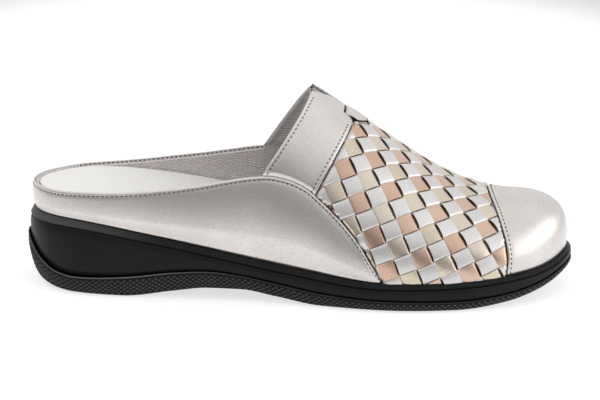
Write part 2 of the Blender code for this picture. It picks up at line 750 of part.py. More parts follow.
def make_woven_vamp():
    """Basket weave: one sheet with raised strips, trimmed to its window between the seams."""
    maps = {side: WeaveMap(side) for side in (-1, 1)}
    maker = bmesh.new()
    layers = {}

    def corner(first, second):
        if (first, second) not in layers:
            along, girth = weave_place(first, second)
            side = 1 if girth > 0 else -1
            share, level = maps[side].place(along, abs(girth))
            flat = first != round(first) and second != round(second)
            depths = (-STRIP_CROWN if flat else STRIP_VALLEY, 2 * LEATHER)
            layers[first, second] = [maker.verts.new(skin_point(side, share, level, depth) + FRAME_SHIFT)
                                     for depth in depths]
        return layers[first, second]

    steps = (0, STRIP_EDGE, 1 - STRIP_EDGE, 1)
    for first, second in sorted(weave_cells()):
        for low, high in zip(steps, steps[1:]):
            for left, right in zip(steps, steps[1:]):
                ring = [corner(first + low, second + left), corner(first + high, second + left),
                        corner(first + high, second + right), corner(first + low, second + right)]
                for layer in (0, 1):
                    maker.faces.new([pair[layer] for pair in ring])
    under = {pair[0]: pair[1] for pair in layers.values()}
    for edge in [edge for edge in maker.edges if edge.is_boundary and edge.verts[0] in under]:
        start, end = edge.verts
        maker.faces.new((start, end, under[end], under[start]))
    piece = new_object("woven_vamp", maker)
    window = make_window()
    window.hide_render = True
    window.display_type = "WIRE"
    trim = piece.modifiers.new("trim", "BOOLEAN")
    trim.operation = "INTERSECT"
    trim.solver = "EXACT"
    trim.use_self = True
    trim.object = window
    return piece


def main():
    for item in list(bpy.data.objects):
        bpy.data.objects.remove(item)
    set_frame()
    shares, throat_top = column_shares()
    loft("outsole", sole_loops(shares, OUTSOLE_RINGS, outsole_height))
    loft("midsole", sole_loops(shares, MIDSOLE_RINGS, midsole_height))
    make_insole(shares)
    make_upper(shares, throat_top)
    make_quarter(shares)
    make_toe_cap()
    make_instep_band()
    make_notch_piece("gore", REAR_NOTCH, True)
    make_notch_piece("instep_tab", FRONT_NOTCH, False)
    make_woven_vamp()


main()
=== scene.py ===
# Woven clog, right shoe: leather, weave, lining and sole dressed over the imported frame
import math

import bmesh
import bpy
import numpy as np
from mathutils import Matrix, Vector


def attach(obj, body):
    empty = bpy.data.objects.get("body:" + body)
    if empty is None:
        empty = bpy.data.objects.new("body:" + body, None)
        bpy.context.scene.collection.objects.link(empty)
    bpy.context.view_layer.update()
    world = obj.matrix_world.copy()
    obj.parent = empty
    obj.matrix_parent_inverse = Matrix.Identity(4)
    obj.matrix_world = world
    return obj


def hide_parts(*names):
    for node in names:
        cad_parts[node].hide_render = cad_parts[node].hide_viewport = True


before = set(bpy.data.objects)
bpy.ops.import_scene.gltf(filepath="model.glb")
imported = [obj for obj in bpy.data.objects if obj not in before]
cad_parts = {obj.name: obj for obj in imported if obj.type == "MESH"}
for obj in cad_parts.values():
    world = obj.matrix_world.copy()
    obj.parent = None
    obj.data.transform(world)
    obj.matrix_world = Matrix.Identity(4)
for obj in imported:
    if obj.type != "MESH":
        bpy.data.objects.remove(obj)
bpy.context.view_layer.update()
mm = 0.001
print("frame loaded:", len(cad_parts), "nodes")

# The last that the leather lies on. Tables are in millimetres, stations run from heel to toe,
# across is negative on the outer side.
last = {
    "outline": ((3.5, 0), (12, -20), (34, -30.5), (70, -32.5), (105, -34.5), (140, -41), (172, -46.5),
                (205, -43.5), (236, -31.5), (252.5, -17), (261, 4.5), (253.5, 25.5), (238, 36.5),
                (210, 42.5), (180, 44.5), (140, 36), (105, 29.5), (70, 29.5), (34, 29), (12, 19.5)),
    # station, joint with the sole, ridge, ridge across, climb, flat, lean in degrees
    "sections": ((3.5, 36.3, 122, 0, 0.55, 0.50, 8), (26, 36.1, 122, 0, 0.55, 0.50, 4),
                 (54, 31.8, 121, 0, 0.60, 0.50, 2.5), (81, 26.3, 118, 0.5, 0.60, 0.50, 2),
                 (108, 21, 111, 1, 0.60, 0.52, 3), (136, 16.8, 97.6, 2, 0.60, 0.55, 3),
                 (160, 14, 81.6, 3, 0.57, 0.52, 4), (183, 13.6, 66.1, 4.5, 0.56, 0.50, 5),
                 (206, 13.8, 52.9, 6, 0.60, 0.50, 5), (222, 14.5, 47.4, 7, 0.66, 0.52, 5),
                 (236, 15.4, 45.5, 7, 0.72, 0.58, 4), (250, 17.2, 45.5, 7, 0.82, 0.68, 4),
                 (257, 19.2, 45, 7, 0.85, 0.72, 4), (261, 20.8, 44, 7, 0.85, 0.72, 4)),
    "ridgeRear": 35.0,
    "ridgeFront": 234.0,
    "gather": 7.0,         # softness of the ridge's gathering round heel and toe
    "fit": 0.3,
    "step": 1e-4,          # share and level step that the skin's normal is read over
    "normalTop": 0.985,    # normals are read no closer to the ridge, where the toe's profiles meet
}
edges = {
    "topline": ((0, 49), (12, 49.1), (26, 49.9), (45, 50.8), (63, 52.3), (81, 54.7), (98, 58.2),
                (107, 59.9), (112.5, 60.6)),
    "throatFoot": (112.5, 60.6),
    "throatTop": (136.6, 97.6),
    "quarterFront": ((112.5, 60.6), (116, 60.8), (125, 59.4), (134, 55.8), (140, 51.1), (149, 43),
                     (158, 32.6), (164.6, 22.2), (170.3, 13)),
    "bandFront": ((138.1, 53.4), (142.5, 61.5), (148.5, 71.8), (156.7, 83.8)),
    "capSeam": ((228.8, 12), (229.6, 21.4), (228.8, 29), (226.6, 37), (224.3, 43), (222.2, 47),
                (220.6, 50.5)),
    "seamGap": 0.6,
    "innerLift": 1.5,      # the inner topline stands a little higher round the arch
    "innerLiftAt": 76.0,
    "innerLiftRun": 24.0,
}


def ease(value):
    value = np.clip(value, 0, 1)
    return value * value * (3 - 2 * value)


def spanOf(knots, at):   # the span that holds each place, its length and the way along it
    at = np.clip(np.asarray(at, float), knots[0], knots[-1])
    left = np.clip(np.searchsorted(knots, at, side="right") - 1, 0, len(knots) - 2)
    gap = knots[left + 1] - knots[left]
    return left, gap, (at - knots[left]) / gap


def smoothLine(knots, values):   # natural cubic through the values
    knots, values = np.asarray(knots, float), np.asarray(values, float)
    gaps = np.diff(knots)
    slopes = np.diff(values) / gaps
    matrix = np.eye(len(knots))
    right = np.zeros(len(knots))
    for row in range(1, len(knots) - 1):
        matrix[row, row - 1:row + 2] = gaps[row - 1], 2 * (gaps[row - 1] + gaps[row]), gaps[row]
        right[row] = 6 * (slopes[row] - slopes[row - 1])
    bends = np.linalg.solve(matrix, right)

    def line(at):
        left, gap, far = spanOf(knots, at)
        near = 1 - far
        bend = (near ** 3 - near) * bends[left] + (far ** 3 - far) * bends[left + 1]
        return near * values[left] + far * values[left + 1] + bend * gap ** 2 / 6
    return line


def heldLine(knots, values):   # cubic that never overshoots, so flats stay flat
    knots, values = np.asarray(knots, float), np.asarray(values, float)
    slopes = np.diff(values) / np.diff(knots)
    tangents = np.zeros(len(knots))
    tangents[0], tangents[-1] = slopes[0], slopes[-1]
    for row in range(1, len(knots) - 1):
        if slopes[row - 1] * slopes[row] > 0:
            tangents[row] = 2 / (1 / slopes[row - 1] + 1 / slopes[row])

    def line(at):
        left, gap, way = spanOf(knots, at)
        rise = ease(way)
        bent = way * (1 - way) ** 2 * tangents[left] + way * way * (way - 1) * tangents[left + 1]
        return values[left] * (1 - rise) + values[left + 1] * rise + bent * gap
    return line


def planRuns(table):   # the outline split at heel and toe, each side by its share of length
    wrap, samples = 4, 200
    points = np.array(table, float)
    points = np.vstack([points[-wrap:], points, points[:wrap + 1]])
    knots = np.concatenate([[0], np.cumsum(np.hypot(*np.diff(points, axis=0).T))])
    fine = np.linspace(knots[wrap], knots[-wrap - 1], len(table) * samples + 1)[:-1]
    loop = np.column_stack([smoothLine(knots, points[:, 0])(fine), smoothLine(knots, points[:, 1])(fine)])
    loop = np.roll(loop, -int(np.argmin(loop[:, 0])), axis=0)
    loop = np.vstack([loop, loop[:1]])
    tip = int(np.argmax(loop[:, 0]))
    runs = {}
    for side, half in ((-1, loop[:tip + 1]), (1, loop[tip:][::-1])):
        run = np.concatenate([[0], np.cumsum(np.hypot(*np.diff(half, axis=0).T))])
        tangent = np.gradient(half, run, axis=0)
        runs[side] = run / run[-1], half, tangent / np.linalg.norm(tangent, axis=1)[:, None], run[-1]
    return runs


planSides = planRuns(last["outline"])
sectionTable = np.array(last["sections"])
jointLine, ridgeLine, ridgeAcross, climbLine, flatLine, leanLine = (
    smoothLine(sectionTable[:, 0], sectionTable[:, index]) for index in range(1, 7))
topline = heldLine(*zip(*edges["topline"]))
quarterFront = heldLine(*zip(*edges["quarterFront"]))
bandFront = heldLine(*zip(*[(height, station) for station, height in edges["bandFront"]]))
capSeam = heldLine(*zip(*[(height, station) for station, height in edges["capSeam"]]))
quarterSeam = heldLine(*zip(*[(height, station) for station, height in edges["quarterFront"][:1:-1]]))


def planPoint(side, share, outset=0.0):
    shares, points, tangent, _ = planSides[side]
    x = np.interp(share, shares, points[:, 0])
    y = np.interp(share, shares, points[:, 1])
    outX = -side * np.interp(share, shares, tangent[:, 1])
    outY = side * np.interp(share, shares, tangent[:, 0])
    ends = (np.asarray(share) <= 0) | (np.asarray(share) >= 1)
    outY = np.where(ends, 0.0, outY)
    length = np.hypot(outX, outY)
    return x + outset * outX / length, y + outset * outY / length


def eitherPoint(side, share, outset=0.0):   # planPoint for an array of sides
    outer, inner = planPoint(-1, share, outset), planPoint(1, share, outset)
    return np.where(side < 0, outer[0], inner[0]), np.where(side < 0, outer[1], inner[1])


def lastPoint(side, share, level):   # level 0 at the sole joint, 1 on the ridge
    side, share, level = np.broadcast_arrays(side, np.asarray(share, float), np.asarray(level, float))
    outer, inner = planPoint(-1, share), planPoint(1, share)
    x = np.where(side < 0, outer[0], inner[0])
    y = np.where(side < 0, outer[1], inner[1])
    middle = 0.5 * (outer[0] + inner[0])
    soft = last["gather"]
    ridgeX = middle - soft * np.logaddexp(0, (middle - last["ridgeFront"]) / soft)
    ridgeX = ridgeX + soft * np.logaddexp(0, (last["ridgeRear"] - middle) / soft)
    foot = np.stack([x, y, jointLine(x) + last["fit"]], axis=-1)
    top = np.stack([ridgeX, ridgeAcross(ridgeX), ridgeLine(ridgeX)], axis=-1)
    inward = top - foot
    inward[..., 2] = 0
    reach = np.linalg.norm(inward, axis=-1)
    climb = climbLine(middle) * (top[..., 2] - foot[..., 2])
    wall = foot.copy()
    wall[..., 2] += climb
    wall -= inward * (climb * np.tan(np.radians(leanLine(middle))) / reach)[..., None]
    brow = top - inward * flatLine(middle)[..., None]
    near, far = (1 - level)[..., None], level[..., None]
    return foot * near ** 3 + 3 * wall * near ** 2 * far + 3 * brow * near * far ** 2 + top * far ** 3


def skinNormal(side, share, level):
    step = last["step"]
    level = np.minimum(level, last["normalTop"])
    ahead, behind = (lastPoint(side, np.clip(share + way, 0, 1), level) for way in (step, -step))
    ends = ((share <= step) | (share >= 1 - step))[..., None]
    turn = np.where(share[..., None] < 0.5, 1.0, -1.0)
    across = np.zeros(ahead.shape)
    across[..., 1] = side
    along = np.where(ends, across * turn, ahead - behind)
    up = lastPoint(side, share, level + step) - lastPoint(side, share, level - step)
    normal = np.cross(along, up) * -np.asarray(side, float)[..., None]
    return normal / np.linalg.norm(normal, axis=-1)[..., None]


def skin(side, share, level, depth):   # points under the skin by the depth, both sides meeting on the ridge
    share, level = np.asarray(share, float), np.asarray(level, float)
    side, share, level, depth = np.broadcast_arrays(side, share, level, depth)
    normal = skinNormal(side, share, level)
    ridge = level > 1 - 1e-6
    if ridge.any():
        other = skinNormal(-side, share, level)
        both = normal + other
        both /= np.linalg.norm(both, axis=-1)[..., None]
        normal = np.where(ridge[..., None], both, normal)
    return lastPoint(side, share, level) - normal * depth[..., None]


def halve(gap, low, high, steps=34):   # root of a gap that changes sign once, for arrays
    low, high = np.array(low, float), np.array(high, float)
    start = gap(low) > 0
    for _ in range(steps):
        middle = 0.5 * (low + high)
        same = (gap(middle) > 0) == start
        low, high = np.where(same, middle, low), np.where(same, high, middle)
    return 0.5 * (low + high)


def innerLift(side, station):
    swell = np.exp(-((station - edges["innerLiftAt"]) / edges["innerLiftRun"]) ** 2)
    return np.where(side > 0, edges["innerLift"] * swell, 0.0)


def levelAt(side, share, edge):   # level where a profile meets an edge of height over station
    def gap(level):
        point = lastPoint(side, share, level)
        return edge(point[..., 0]) + innerLift(side, point[..., 0]) - point[..., 2]
    ones = np.ones(np.shape(share))
    return np.where(gap(ones) > 0, 1.0, halve(gap, 0 * ones, ones))


def shareOn(side, level, seam):   # share where a line of constant level meets a seam of station over height
    def gap(share):
        point = lastPoint(side, share, level)
        return point[..., 0] - seam(point[..., 2])
    return halve(gap, np.full(np.shape(level), 0.3), np.ones(np.shape(level)))


def shareAt(side, station):
    shares, points, _, _ = planSides[side]
    return float(np.interp(station, points[:, 0], shares))


(throatX, throatZ), throatTop = edges["throatFoot"], edges["throatTop"]
throatSlope = (throatTop[1] - throatZ) / (throatTop[0] - throatX)


def throatHeight(station):
    return np.where(station < throatX, topline(station), throatZ + (station - throatX) * throatSlope)


def throatSeam(height):
    return throatX + (height - throatZ) / throatSlope


def quarterHeight(station):
    return np.where(station < throatX, topline(station), quarterFront(station))


def windowRear(height):
    return np.where(height < edges["bandFront"][0][1] - last["fit"], quarterSeam(height), bandFront(height))


def levelBelow(side, share, top, distance, samples=28):   # level at a distance down from the top level
    levels = top[:, None] * (1 - np.linspace(0, 1, samples))
    points = lastPoint(side[:, None], share[:, None], levels)
    run = np.cumsum(np.linalg.norm(np.diff(points, axis=1), axis=2), axis=1)
    run = np.concatenate([np.zeros((len(run), 1)), run], axis=1)
    goal = distance(run[:, -1])
    index = np.clip((run < goal[:, None]).sum(axis=1) - 1, 0, samples - 2)
    rows = np.arange(len(run))
    low, high = run[rows, index], run[rows, index + 1]
    way = np.clip((goal - low) / np.maximum(high - low, 1e-9), 0, 1)
    return levels[rows, index] * (1 - way) + levels[rows, index + 1] * way, goal, run[:, -1]


bulge = 2.8   # the outsole's widest outset, and what it has more at the heel
heelBulge = 1.0
wide = np.vstack([np.column_stack(planPoint(side, planSides[side][0], bulge)) for side in (-1, 1)])
frameShift = np.array([-0.5 * (float(planPoint(-1, 0.0, bulge + heelBulge)[0]) + wide[:, 0].max()),
                       -0.5 * (wide[:, 1].min() + wide[:, 1].max()), 0.0])
print("last laid out, frame shift", frameShift.round(2))


# Mesh helpers
def layGrid(columns, rows, lay):   # lay gives points, cloth coordinates and named marks over u and v
    bm = bmesh.new()
    bmesh.ops.create_grid(bm, x_segments=columns, y_segments=rows, size=0.5)
    bm.verts.index_update()
    flat = np.array([vert.co[:2] for vert in bm.verts]) + 0.5
    points, cloth, marks = lay(flat[:, 0], flat[:, 1])
    points = (points + frameShift) * mm
    layers = {name: bm.verts.layers.float.new(name) for name in marks}
    for index, vert in enumerate(bm.verts):
        vert.co = points[index]
        for name, layer in layers.items():
            vert[layer] = marks[name][index]
    cloth = cloth * mm
    uvLayer = bm.loops.layers.uv.new("cloth")
    for face in bm.faces:
        for loop in face.loops:
            loop[uvLayer].uv = cloth[loop.vert.index]
    return bm


footCore = 30.0   # height of the foot's middle, which sheets and stitches face away from


def turnOutward(bm):
    total = 0.0
    for face in bm.faces:
        centre = face.calc_center_median()
        total += face.calc_area() * face.normal.dot(centre - Vector((centre.x, 0, footCore * mm)))
    if total < 0:
        bmesh.ops.reverse_faces(bm, faces=bm.faces)


def mergeVerts(bm):
    bmesh.ops.remove_doubles(bm, verts=bm.verts, dist=2e-6)
    bmesh.ops.dissolve_degenerate(bm, edges=bm.edges, dist=1e-6)


def cleanSheet(bm):
    mergeVerts(bm)
    bmesh.ops.recalc_face_normals(bm, faces=bm.faces)
    bm.normal_update()
    turnOutward(bm)


def closeRing(bm):   # joins the ends of a round and fills it above and below
    bmesh.ops.remove_doubles(bm, verts=bm.verts, dist=2e-6)
    bmesh.ops.holes_fill(bm, edges=[edge for edge in bm.edges if edge.is_boundary], sides=0)


def finishPiece(bm, name, finish, slotName, *nodes, wall=0.0, crisp=0):
    if wall:
        cleanSheet(bm)
    else:
        bmesh.ops.recalc_face_normals(bm, faces=bm.faces)
    mesh = bpy.data.meshes.new(name)
    bm.to_mesh(mesh)
    bm.free()
    mesh.polygons.foreach_set("use_smooth", [True] * len(mesh.polygons))
    if crisp:   # degrees past which an edge stays sharp
        mesh.set_sharp_from_angle(angle=math.radians(crisp))
    piece = bpy.data.objects.new(name, mesh)
    bpy.context.scene.collection.objects.link(piece)
    mesh.materials.append(finish)
    if wall:   # sheet to a thin solid, grown inward
        thicken = piece.modifiers.new("wall", "SOLIDIFY")
        thicken.thickness = wall * mm
        thicken.offset = -1.0
    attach(piece, "root")
    if nodes:
        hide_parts(*nodes)
    triangles = sum(len(face.vertices) - 2 for face in mesh.polygons)
    print("piece", name, triangles, "triangles")
    return piece


# Shader helpers
def fillInputs(tree, node, values):   # a value that is a socket is linked, any other is set
    for key, value in values.items():
        if isinstance(value, bpy.types.NodeSocket):
            tree.links.new(value, node.inputs[key])
        else:
            node.inputs[key].default_value = value


def addNode(tree, kind, values=None, **settings):
    node = tree.nodes.new(kind)
    for key, value in settings.items():
        setattr(node, key, value)
    fillInputs(tree, node, values or {})
    return node


def mathNode(tree, operation, *values, clamp=False):
    node = addNode(tree, "ShaderNodeMath", dict(enumerate(values)), operation=operation, use_clamp=clamp)
    return node.outputs[0]


def rampBetween(tree, value, *stops):
    ramp = addNode(tree, "ShaderNodeValToRGB", {"Fac": value})
    for point, (place, colour) in zip(ramp.color_ramp.elements, stops):
        point.position = place
        point.color = (*colour, 1.0)
    return ramp.outputs["Color"]


def mixColours(tree, share, first, second):
    first, second = ((*item, 1.0) if isinstance(item, tuple) else item for item in (first, second))
    return addNode(tree, "ShaderNodeMix", {0: share, 6: first, 7: second}, data_type="RGBA").outputs[2]


def softRange(tree, value, span, start, finish):
    values = {"Value": value, "From Min": span[0], "From Max": span[1], "To Min": start, "To Max": finish}
    return addNode(tree, "ShaderNodeMapRange", values, interpolation_type="SMOOTHSTEP").outputs[0]


def noise(tree, place, scale, detail, roughness=0.5):
    values = {"Vector": place, "Scale": scale, "Detail": detail, "Roughness": roughness}
    return addNode(tree, "ShaderNodeTexNoise", values).outputs["Fac"]


def ribs(tree, place, scale, distortion, detail=2.0, direction="X"):
    values = {"Vector": place, "Scale": scale, "Distortion": distortion, "Detail": detail}
    return addNode(tree, "ShaderNodeTexWave", values, bands_direction=direction).outputs["Fac"]


def objectPlace(tree):
    return addNode(tree, "ShaderNodeTexCoord").outputs["Object"]


def clothPlace(tree):
    return addNode(tree, "ShaderNodeUVMap", uv_map="cloth").outputs["UV"]


def vertexMark(tree, name):
    return addNode(tree, "ShaderNodeAttribute", attribute_name=name).outputs["Fac"]


def bumpInto(tree, shader, height, strength, distance):
    values = {"Height": height, "Strength": strength, "Distance": distance * mm}
    bump = addNode(tree, "ShaderNodeBump", values)
    tree.links.new(bump.outputs["Normal"], shader.inputs["Normal"])


def newGroup(name, inputs, outputs):   # an input without a default is a vector
    group = bpy.data.node_groups.new(name, "ShaderNodeTree")
    for socket, value in inputs.items():
        kind = "NodeSocketVector" if value is None else "NodeSocketFloat"
        item = group.interface.new_socket(socket, in_out="INPUT", socket_type=kind)
        if value is not None:
            item.default_value = value
    for socket in outputs:
        group.interface.new_socket(socket, in_out="OUTPUT", socket_type="NodeSocketFloat")
    return group, group.nodes.new("NodeGroupInput"), group.nodes.new("NodeGroupOutput")


def grainGroup():   # pebbled leather grain with a fine nap and a slow mottle, from a place in metres
    inputs, outputs = {"Place": None, "Pebble": 900.0}, ("Height", "Mottle", "Speck")
    group, start, end = newGroup("leatherGrain", inputs, outputs)
    place = start.outputs["Place"]
    cells = addNode(group, "ShaderNodeTexVoronoi", {"Vector": place, "Scale": start.outputs["Pebble"]},
                    feature="SMOOTH_F1")
    nap = mathNode(group, "MULTIPLY", noise(group, place, 3200.0, 3.0, 0.6), 0.4)
    fillInputs(group, end, {"Height": mathNode(group, "MULTIPLY_ADD", cells.outputs["Distance"], 0.6, nap),
                            "Mottle": noise(group, place, 55.0, 3.0, 0.55),
                            "Speck": noise(group, place, 2100.0, 1.0)})
    return group


def clothGroup():   # rows of short stitches of a knitted mesh, from cloth coordinates in metres
    group, start, end = newGroup("knitMesh", {"Cloth": None}, ("Height", "Thread"))
    cloth = start.outputs["Cloth"]
    brick = addNode(group, "ShaderNodeTexBrick", {
        "Vector": cloth, "Scale": 600.0, "Color1": (0, 0, 0, 1), "Color2": (0.25, 0.25, 0.25, 1),
        "Mortar": (1, 1, 1, 1), "Mortar Size": 0.16, "Mortar Smooth": 0.9, "Bias": 0.0,
        "Brick Width": 1.0, "Row Height": 0.55}, offset=0.5).outputs["Color"]
    fuzzy = mathNode(group, "MULTIPLY_ADD", noise(group, cloth, 2600.0, 2.0), 0.35, brick)
    fillInputs(group, end, {"Height": fuzzy, "Thread": brick})
    return group


grain = grainGroup()
knit = clothGroup()


def newFinish(name):
    material = bpy.data.materials.new(name)
    material.use_nodes = True
    tree = material.node_tree
    return material, tree, tree.nodes["Principled BSDF"]


def grainOn(tree, pebble):
    values = {"Place": objectPlace(tree), "Pebble": pebble}
    return addNode(tree, "ShaderNodeGroup", values, node_tree=grain).outputs


def metalLeather(name, look):   # foil-coated leather: flakes in the colour, and an edge colour that paints a highlight on rolled edges, a painted gap shadow on the tab and pale cut edges on the strips
    material, tree, shader = newFinish(name)
    skinGrain = grainOn(tree, look["pebble"])
    speck = skinGrain["Speck"]
    flakes = addNode(tree, "ShaderNodeMapRange", {"Value": speck, "From Min": 0.46, "From Max": 0.72,
                                                  "To Max": look["flakes"]}).outputs[0]
    colour = rampBetween(tree, skinGrain["Mottle"], (0.32, look["deep"]), (0.68, look["pale"]))
    colour = mixColours(tree, flakes, colour, look["flakeColour"])
    # tone: random tone per square; edge: painted highlight on rolled edges, painted shadow round the tab,
    # pale cut edges on the strips
    for mark in ("tone", "edge"):
        colour = mixColours(tree, vertexMark(tree, mark), colour, look[mark + "Colour"])
    least = look["rough"] - 0.5 * look["flecks"]
    fillInputs(tree, shader, {
        "Base Color": colour, "Metallic": look["metal"],
        "Coat Weight": look["coat"], "Coat Roughness": 0.35,
        "Roughness": mathNode(tree, "MULTIPLY_ADD", speck, look["flecks"], least, clamp=True)})
    height = mathNode(tree, "MULTIPLY_ADD", speck, look["sparkle"], skinGrain["Height"])
    bumpInto(tree, shader, height, look["bump"], 0.12)
    return material


# edgeColour here is the pale painted highlight along the rolled edges of quarter, band and cap
silverLook = {
    "deep": (0.69, 0.655, 0.63), "pale": (0.75, 0.715, 0.69), "toneColour": (0.60, 0.57, 0.55),
    "edgeColour": (0.78, 0.75, 0.715), "flakeColour": (0.50, 0.465, 0.445), "flakes": 0.6, "pebble": 1300.0,
    "rough": 0.34, "flecks": 0.10, "metal": 0.94, "coat": 0.05, "sparkle": 0.4, "bump": 0.5,
}
stripLook = dict(silverLook, pebble=1000.0, rough=0.31, metal=0.96, bump=0.6)
silverLeather = metalLeather("silverLeather", silverLook)
tabSilver = metalLeather("tabSilver", dict(silverLook, edgeColour=(0.010, 0.009, 0.009)))   # black edge colour: painted shadow of the gap round the tab
silverStrip = metalLeather("silverStrip", dict(
    silverLook, deep=(0.70, 0.68, 0.665), pale=(0.79, 0.77, 0.76), toneColour=(0.66, 0.645, 0.635),
    flakes=0.35, rough=0.42, metal=0.86, bump=0.3))
roseStrip = metalLeather("roseStrip", dict(
    stripLook, deep=(0.61, 0.415, 0.315), pale=(0.70, 0.50, 0.39), toneColour=(0.70, 0.53, 0.43),
    edgeColour=(0.66, 0.47, 0.36), flakeColour=(0.44, 0.28, 0.205)))
goldStrip = metalLeather("goldStrip", dict(
    stripLook, deep=(0.63, 0.54, 0.42), pale=(0.725, 0.63, 0.505), toneColour=(0.74, 0.66, 0.56),
    edgeColour=(0.70, 0.61, 0.48), flakeColour=(0.46, 0.38, 0.28)))


def rubber(name, look):   # satin moulded rubber with a fine matt nap
    material, tree, shader = newFinish(name)
    skinGrain = grainOn(tree, 1500.0)
    colour = rampBetween(tree, skinGrain["Mottle"], (0.3, look["deep"]), (0.7, look["pale"]))
    # the edge mark paints highlights: the midsole's heel bevel, the outsole's crest and its knurl pads
    fillInputs(tree, shader, {
        "Base Color": mixColours(tree, vertexMark(tree, "edge"), colour, look["edgeColour"]),
        "Roughness": mathNode(tree, "MULTIPLY_ADD", skinGrain["Mottle"], 0.12, look["rough"] - 0.06),
        "Specular IOR Level": look["gloss"]})
    bumpInto(tree, shader, skinGrain["Height"], look["bump"], 0.08)
    return material


midsoleRubber = rubber("midsoleRubber", {
    "deep": (0.006, 0.006, 0.0063), "pale": (0.010, 0.010, 0.0104), "gloss": 0.15,
    "edgeColour": (0.14, 0.14, 0.14), "rough": 0.42, "bump": 0.25})
outsoleRubber = rubber("outsoleRubber", {
    "deep": (0.004, 0.0037, 0.0036), "pale": (0.007, 0.0065, 0.0063), "gloss": 0.12,
    "edgeColour": (0.19, 0.18, 0.17), "rough": 0.55, "bump": 0.3})


def meshFabric():   # knitted mesh, and ribbed elastic along the throat
    material, tree, shader = newFinish("liningMesh")
    cloth, ribbed = clothPlace(tree), vertexMark(tree, "ribbed")
    mesh = addNode(tree, "ShaderNodeGroup", {"Cloth": cloth}, node_tree=knit).outputs
    wave = ribs(tree, cloth, 250.0, 0.2)
    knitted = rampBetween(tree, mesh["Thread"], (0.1, (0.47, 0.43, 0.43)), (0.9, (0.96, 0.90, 0.89)))
    elasticRibs = rampBetween(tree, wave, (0.1, (0.42, 0.39, 0.39)), (0.9, (0.86, 0.82, 0.81)))
    colour = mixColours(tree, ribbed, knitted, elasticRibs)
    colour = mixColours(tree, vertexMark(tree, "edge"), colour, (0.47, 0.445, 0.44))
    fillInputs(tree, shader, {"Base Color": colour, "Roughness": 0.85, "Sheen Weight": 0.25})
    height = addNode(tree, "ShaderNodeMix", {0: ribbed, 2: mesh["Height"], 3: wave}, data_type="FLOAT")
    bumpInto(tree, shader, height.outputs[0], 0.7, 0.35)
    return material


def footbedCloth():   # pale cloth with fine slanting ribs
    material, tree, shader = newFinish("footbedCloth")
    cloth = clothPlace(tree)
    turn = addNode(tree, "ShaderNodeMapping", {"Vector": cloth, "Rotation": (0, 0, math.radians(38))})
    wave = ribs(tree, turn.outputs["Vector"], 290.0, 0.1, detail=1.0)
    colour = rampBetween(tree, wave, (0.15, (0.84, 0.82, 0.795)), (0.8, (0.96, 0.945, 0.92)))
    fillInputs(tree, shader, {"Base Color": colour, "Roughness": 0.9, "Sheen Weight": 0.2})
    fuzzy = mathNode(tree, "MULTIPLY_ADD", noise(tree, cloth, 2400.0, 2.0), 0.4, wave)
    bumpInto(tree, shader, fuzzy, 0.5, 0.15)
    return material


def elasticCloth():
    material, tree, shader = newFinish("ribbedElastic")
    wave = ribs(tree, clothPlace(tree), 130.0, 0.5, direction="Y")
    colour = rampBetween(tree, wave, (0.1, (0.26, 0.25, 0.25)), (0.9, (0.62, 0.60, 0.59)))
    # the edge mark paints the elastic black: painted shadow of the gap beside the ridge
    colour = mixColours(tree, vertexMark(tree, "edge"), colour, (0.010, 0.009, 0.009))
    fillInputs(tree, shader, {"Base Color": colour, "Roughness": 0.85})
    bumpInto(tree, shader, wave, 0.6, 0.3)
    return material


def fibres(name, look):   # dull dark fibres under one fine noise
    material, tree, shader = newFinish(name)
    nap = noise(tree, objectPlace(tree), look["scale"], look["detail"])
    colour = rampBetween(tree, nap, (0.3, look["deep"]), (0.7, look["pale"]))
    fillInputs(tree, shader, {"Base Color": colour, "Roughness": look["rough"]})
    bumpInto(tree, shader, nap, look["bump"], 0.1)
    return material


liningMesh = meshFabric()
footbedFabric = footbedCloth()
elastic = elasticCloth()
thread = fibres("seamThread", {"deep": (0.03, 0.026, 0.024), "pale": (0.07, 0.062, 0.057),
                               "scale": 3500.0, "detail": 1.0, "rough": 0.7, "bump": 0.4})
blackBacking = fibres("blackBacking", {"deep": (0.006, 0.005, 0.005), "pale": (0.016, 0.014, 0.013),
                                       "scale": 1800.0, "detail": 2.0, "rough": 0.95, "bump": 0.3})
print("finishes made")

# Leather overlays: rolled edges, thickness grown inward
leather = {
    "wall": 0.9,
    "rollRun": 1.0,       # how far from a free edge the roll starts
    "rollDrop": 0.7,
    "stitchInset": 1.7,   # stitch row from the edge
    "channel": 0.10,      # shallow trough along a stitch row
    "channelWidth": 0.7,
    "nearRows": (0, 0.08, 0.2, 0.4, 0.65, 1.0, 1.35, 1.7, 2.1, 2.6, 3.4),
    "rolledHighlightMost": 0.7,      # painted highlight: pale line on a rolled edge
    "rolledHighlightRun": 0.9,
    "rolledHighlightFade": 0.7,
}


def edgeDepth(away):   # depth of a leather skin at a distance from its free edge
    turn = np.clip(1 - away / leather["rollRun"], 0, 1)
    roll = leather["rollDrop"] * (1 - np.sqrt(1 - turn ** 2))
    trough = leather["channel"] * np.exp(-((away - leather["stitchInset"]) / leather["channelWidth"]) ** 2)
    return roll + trough


# painted highlight: how pale a rolled edge is painted, by distance from it
def edgeMark(away):
    return leather["rolledHighlightMost"] * np.clip(1 - away / leather["rolledHighlightRun"], 0, 1) ** leather["rolledHighlightFade"]


def rowsFromEdge(index, rows):   # distance from an edge: close rows first, then even ones over the rest
    near = np.array(leather["nearRows"])
    count = len(near) - 1

    def distance(total):
        scale = np.minimum(1, total / (2 * near[-1]))
        close = np.interp(np.minimum(index, count), np.arange(count + 1), near) * scale
        rest = np.clip((index - count) / (rows - count), 0, 1)
        return close + rest * (total - near[-1] * scale)
    return distance


def bothSides(u):   # -1 to 1 over a piece, outer side first, and the side of each place
    t = 2 * u - 1
    return t, np.where(t < 0, -1, 1)


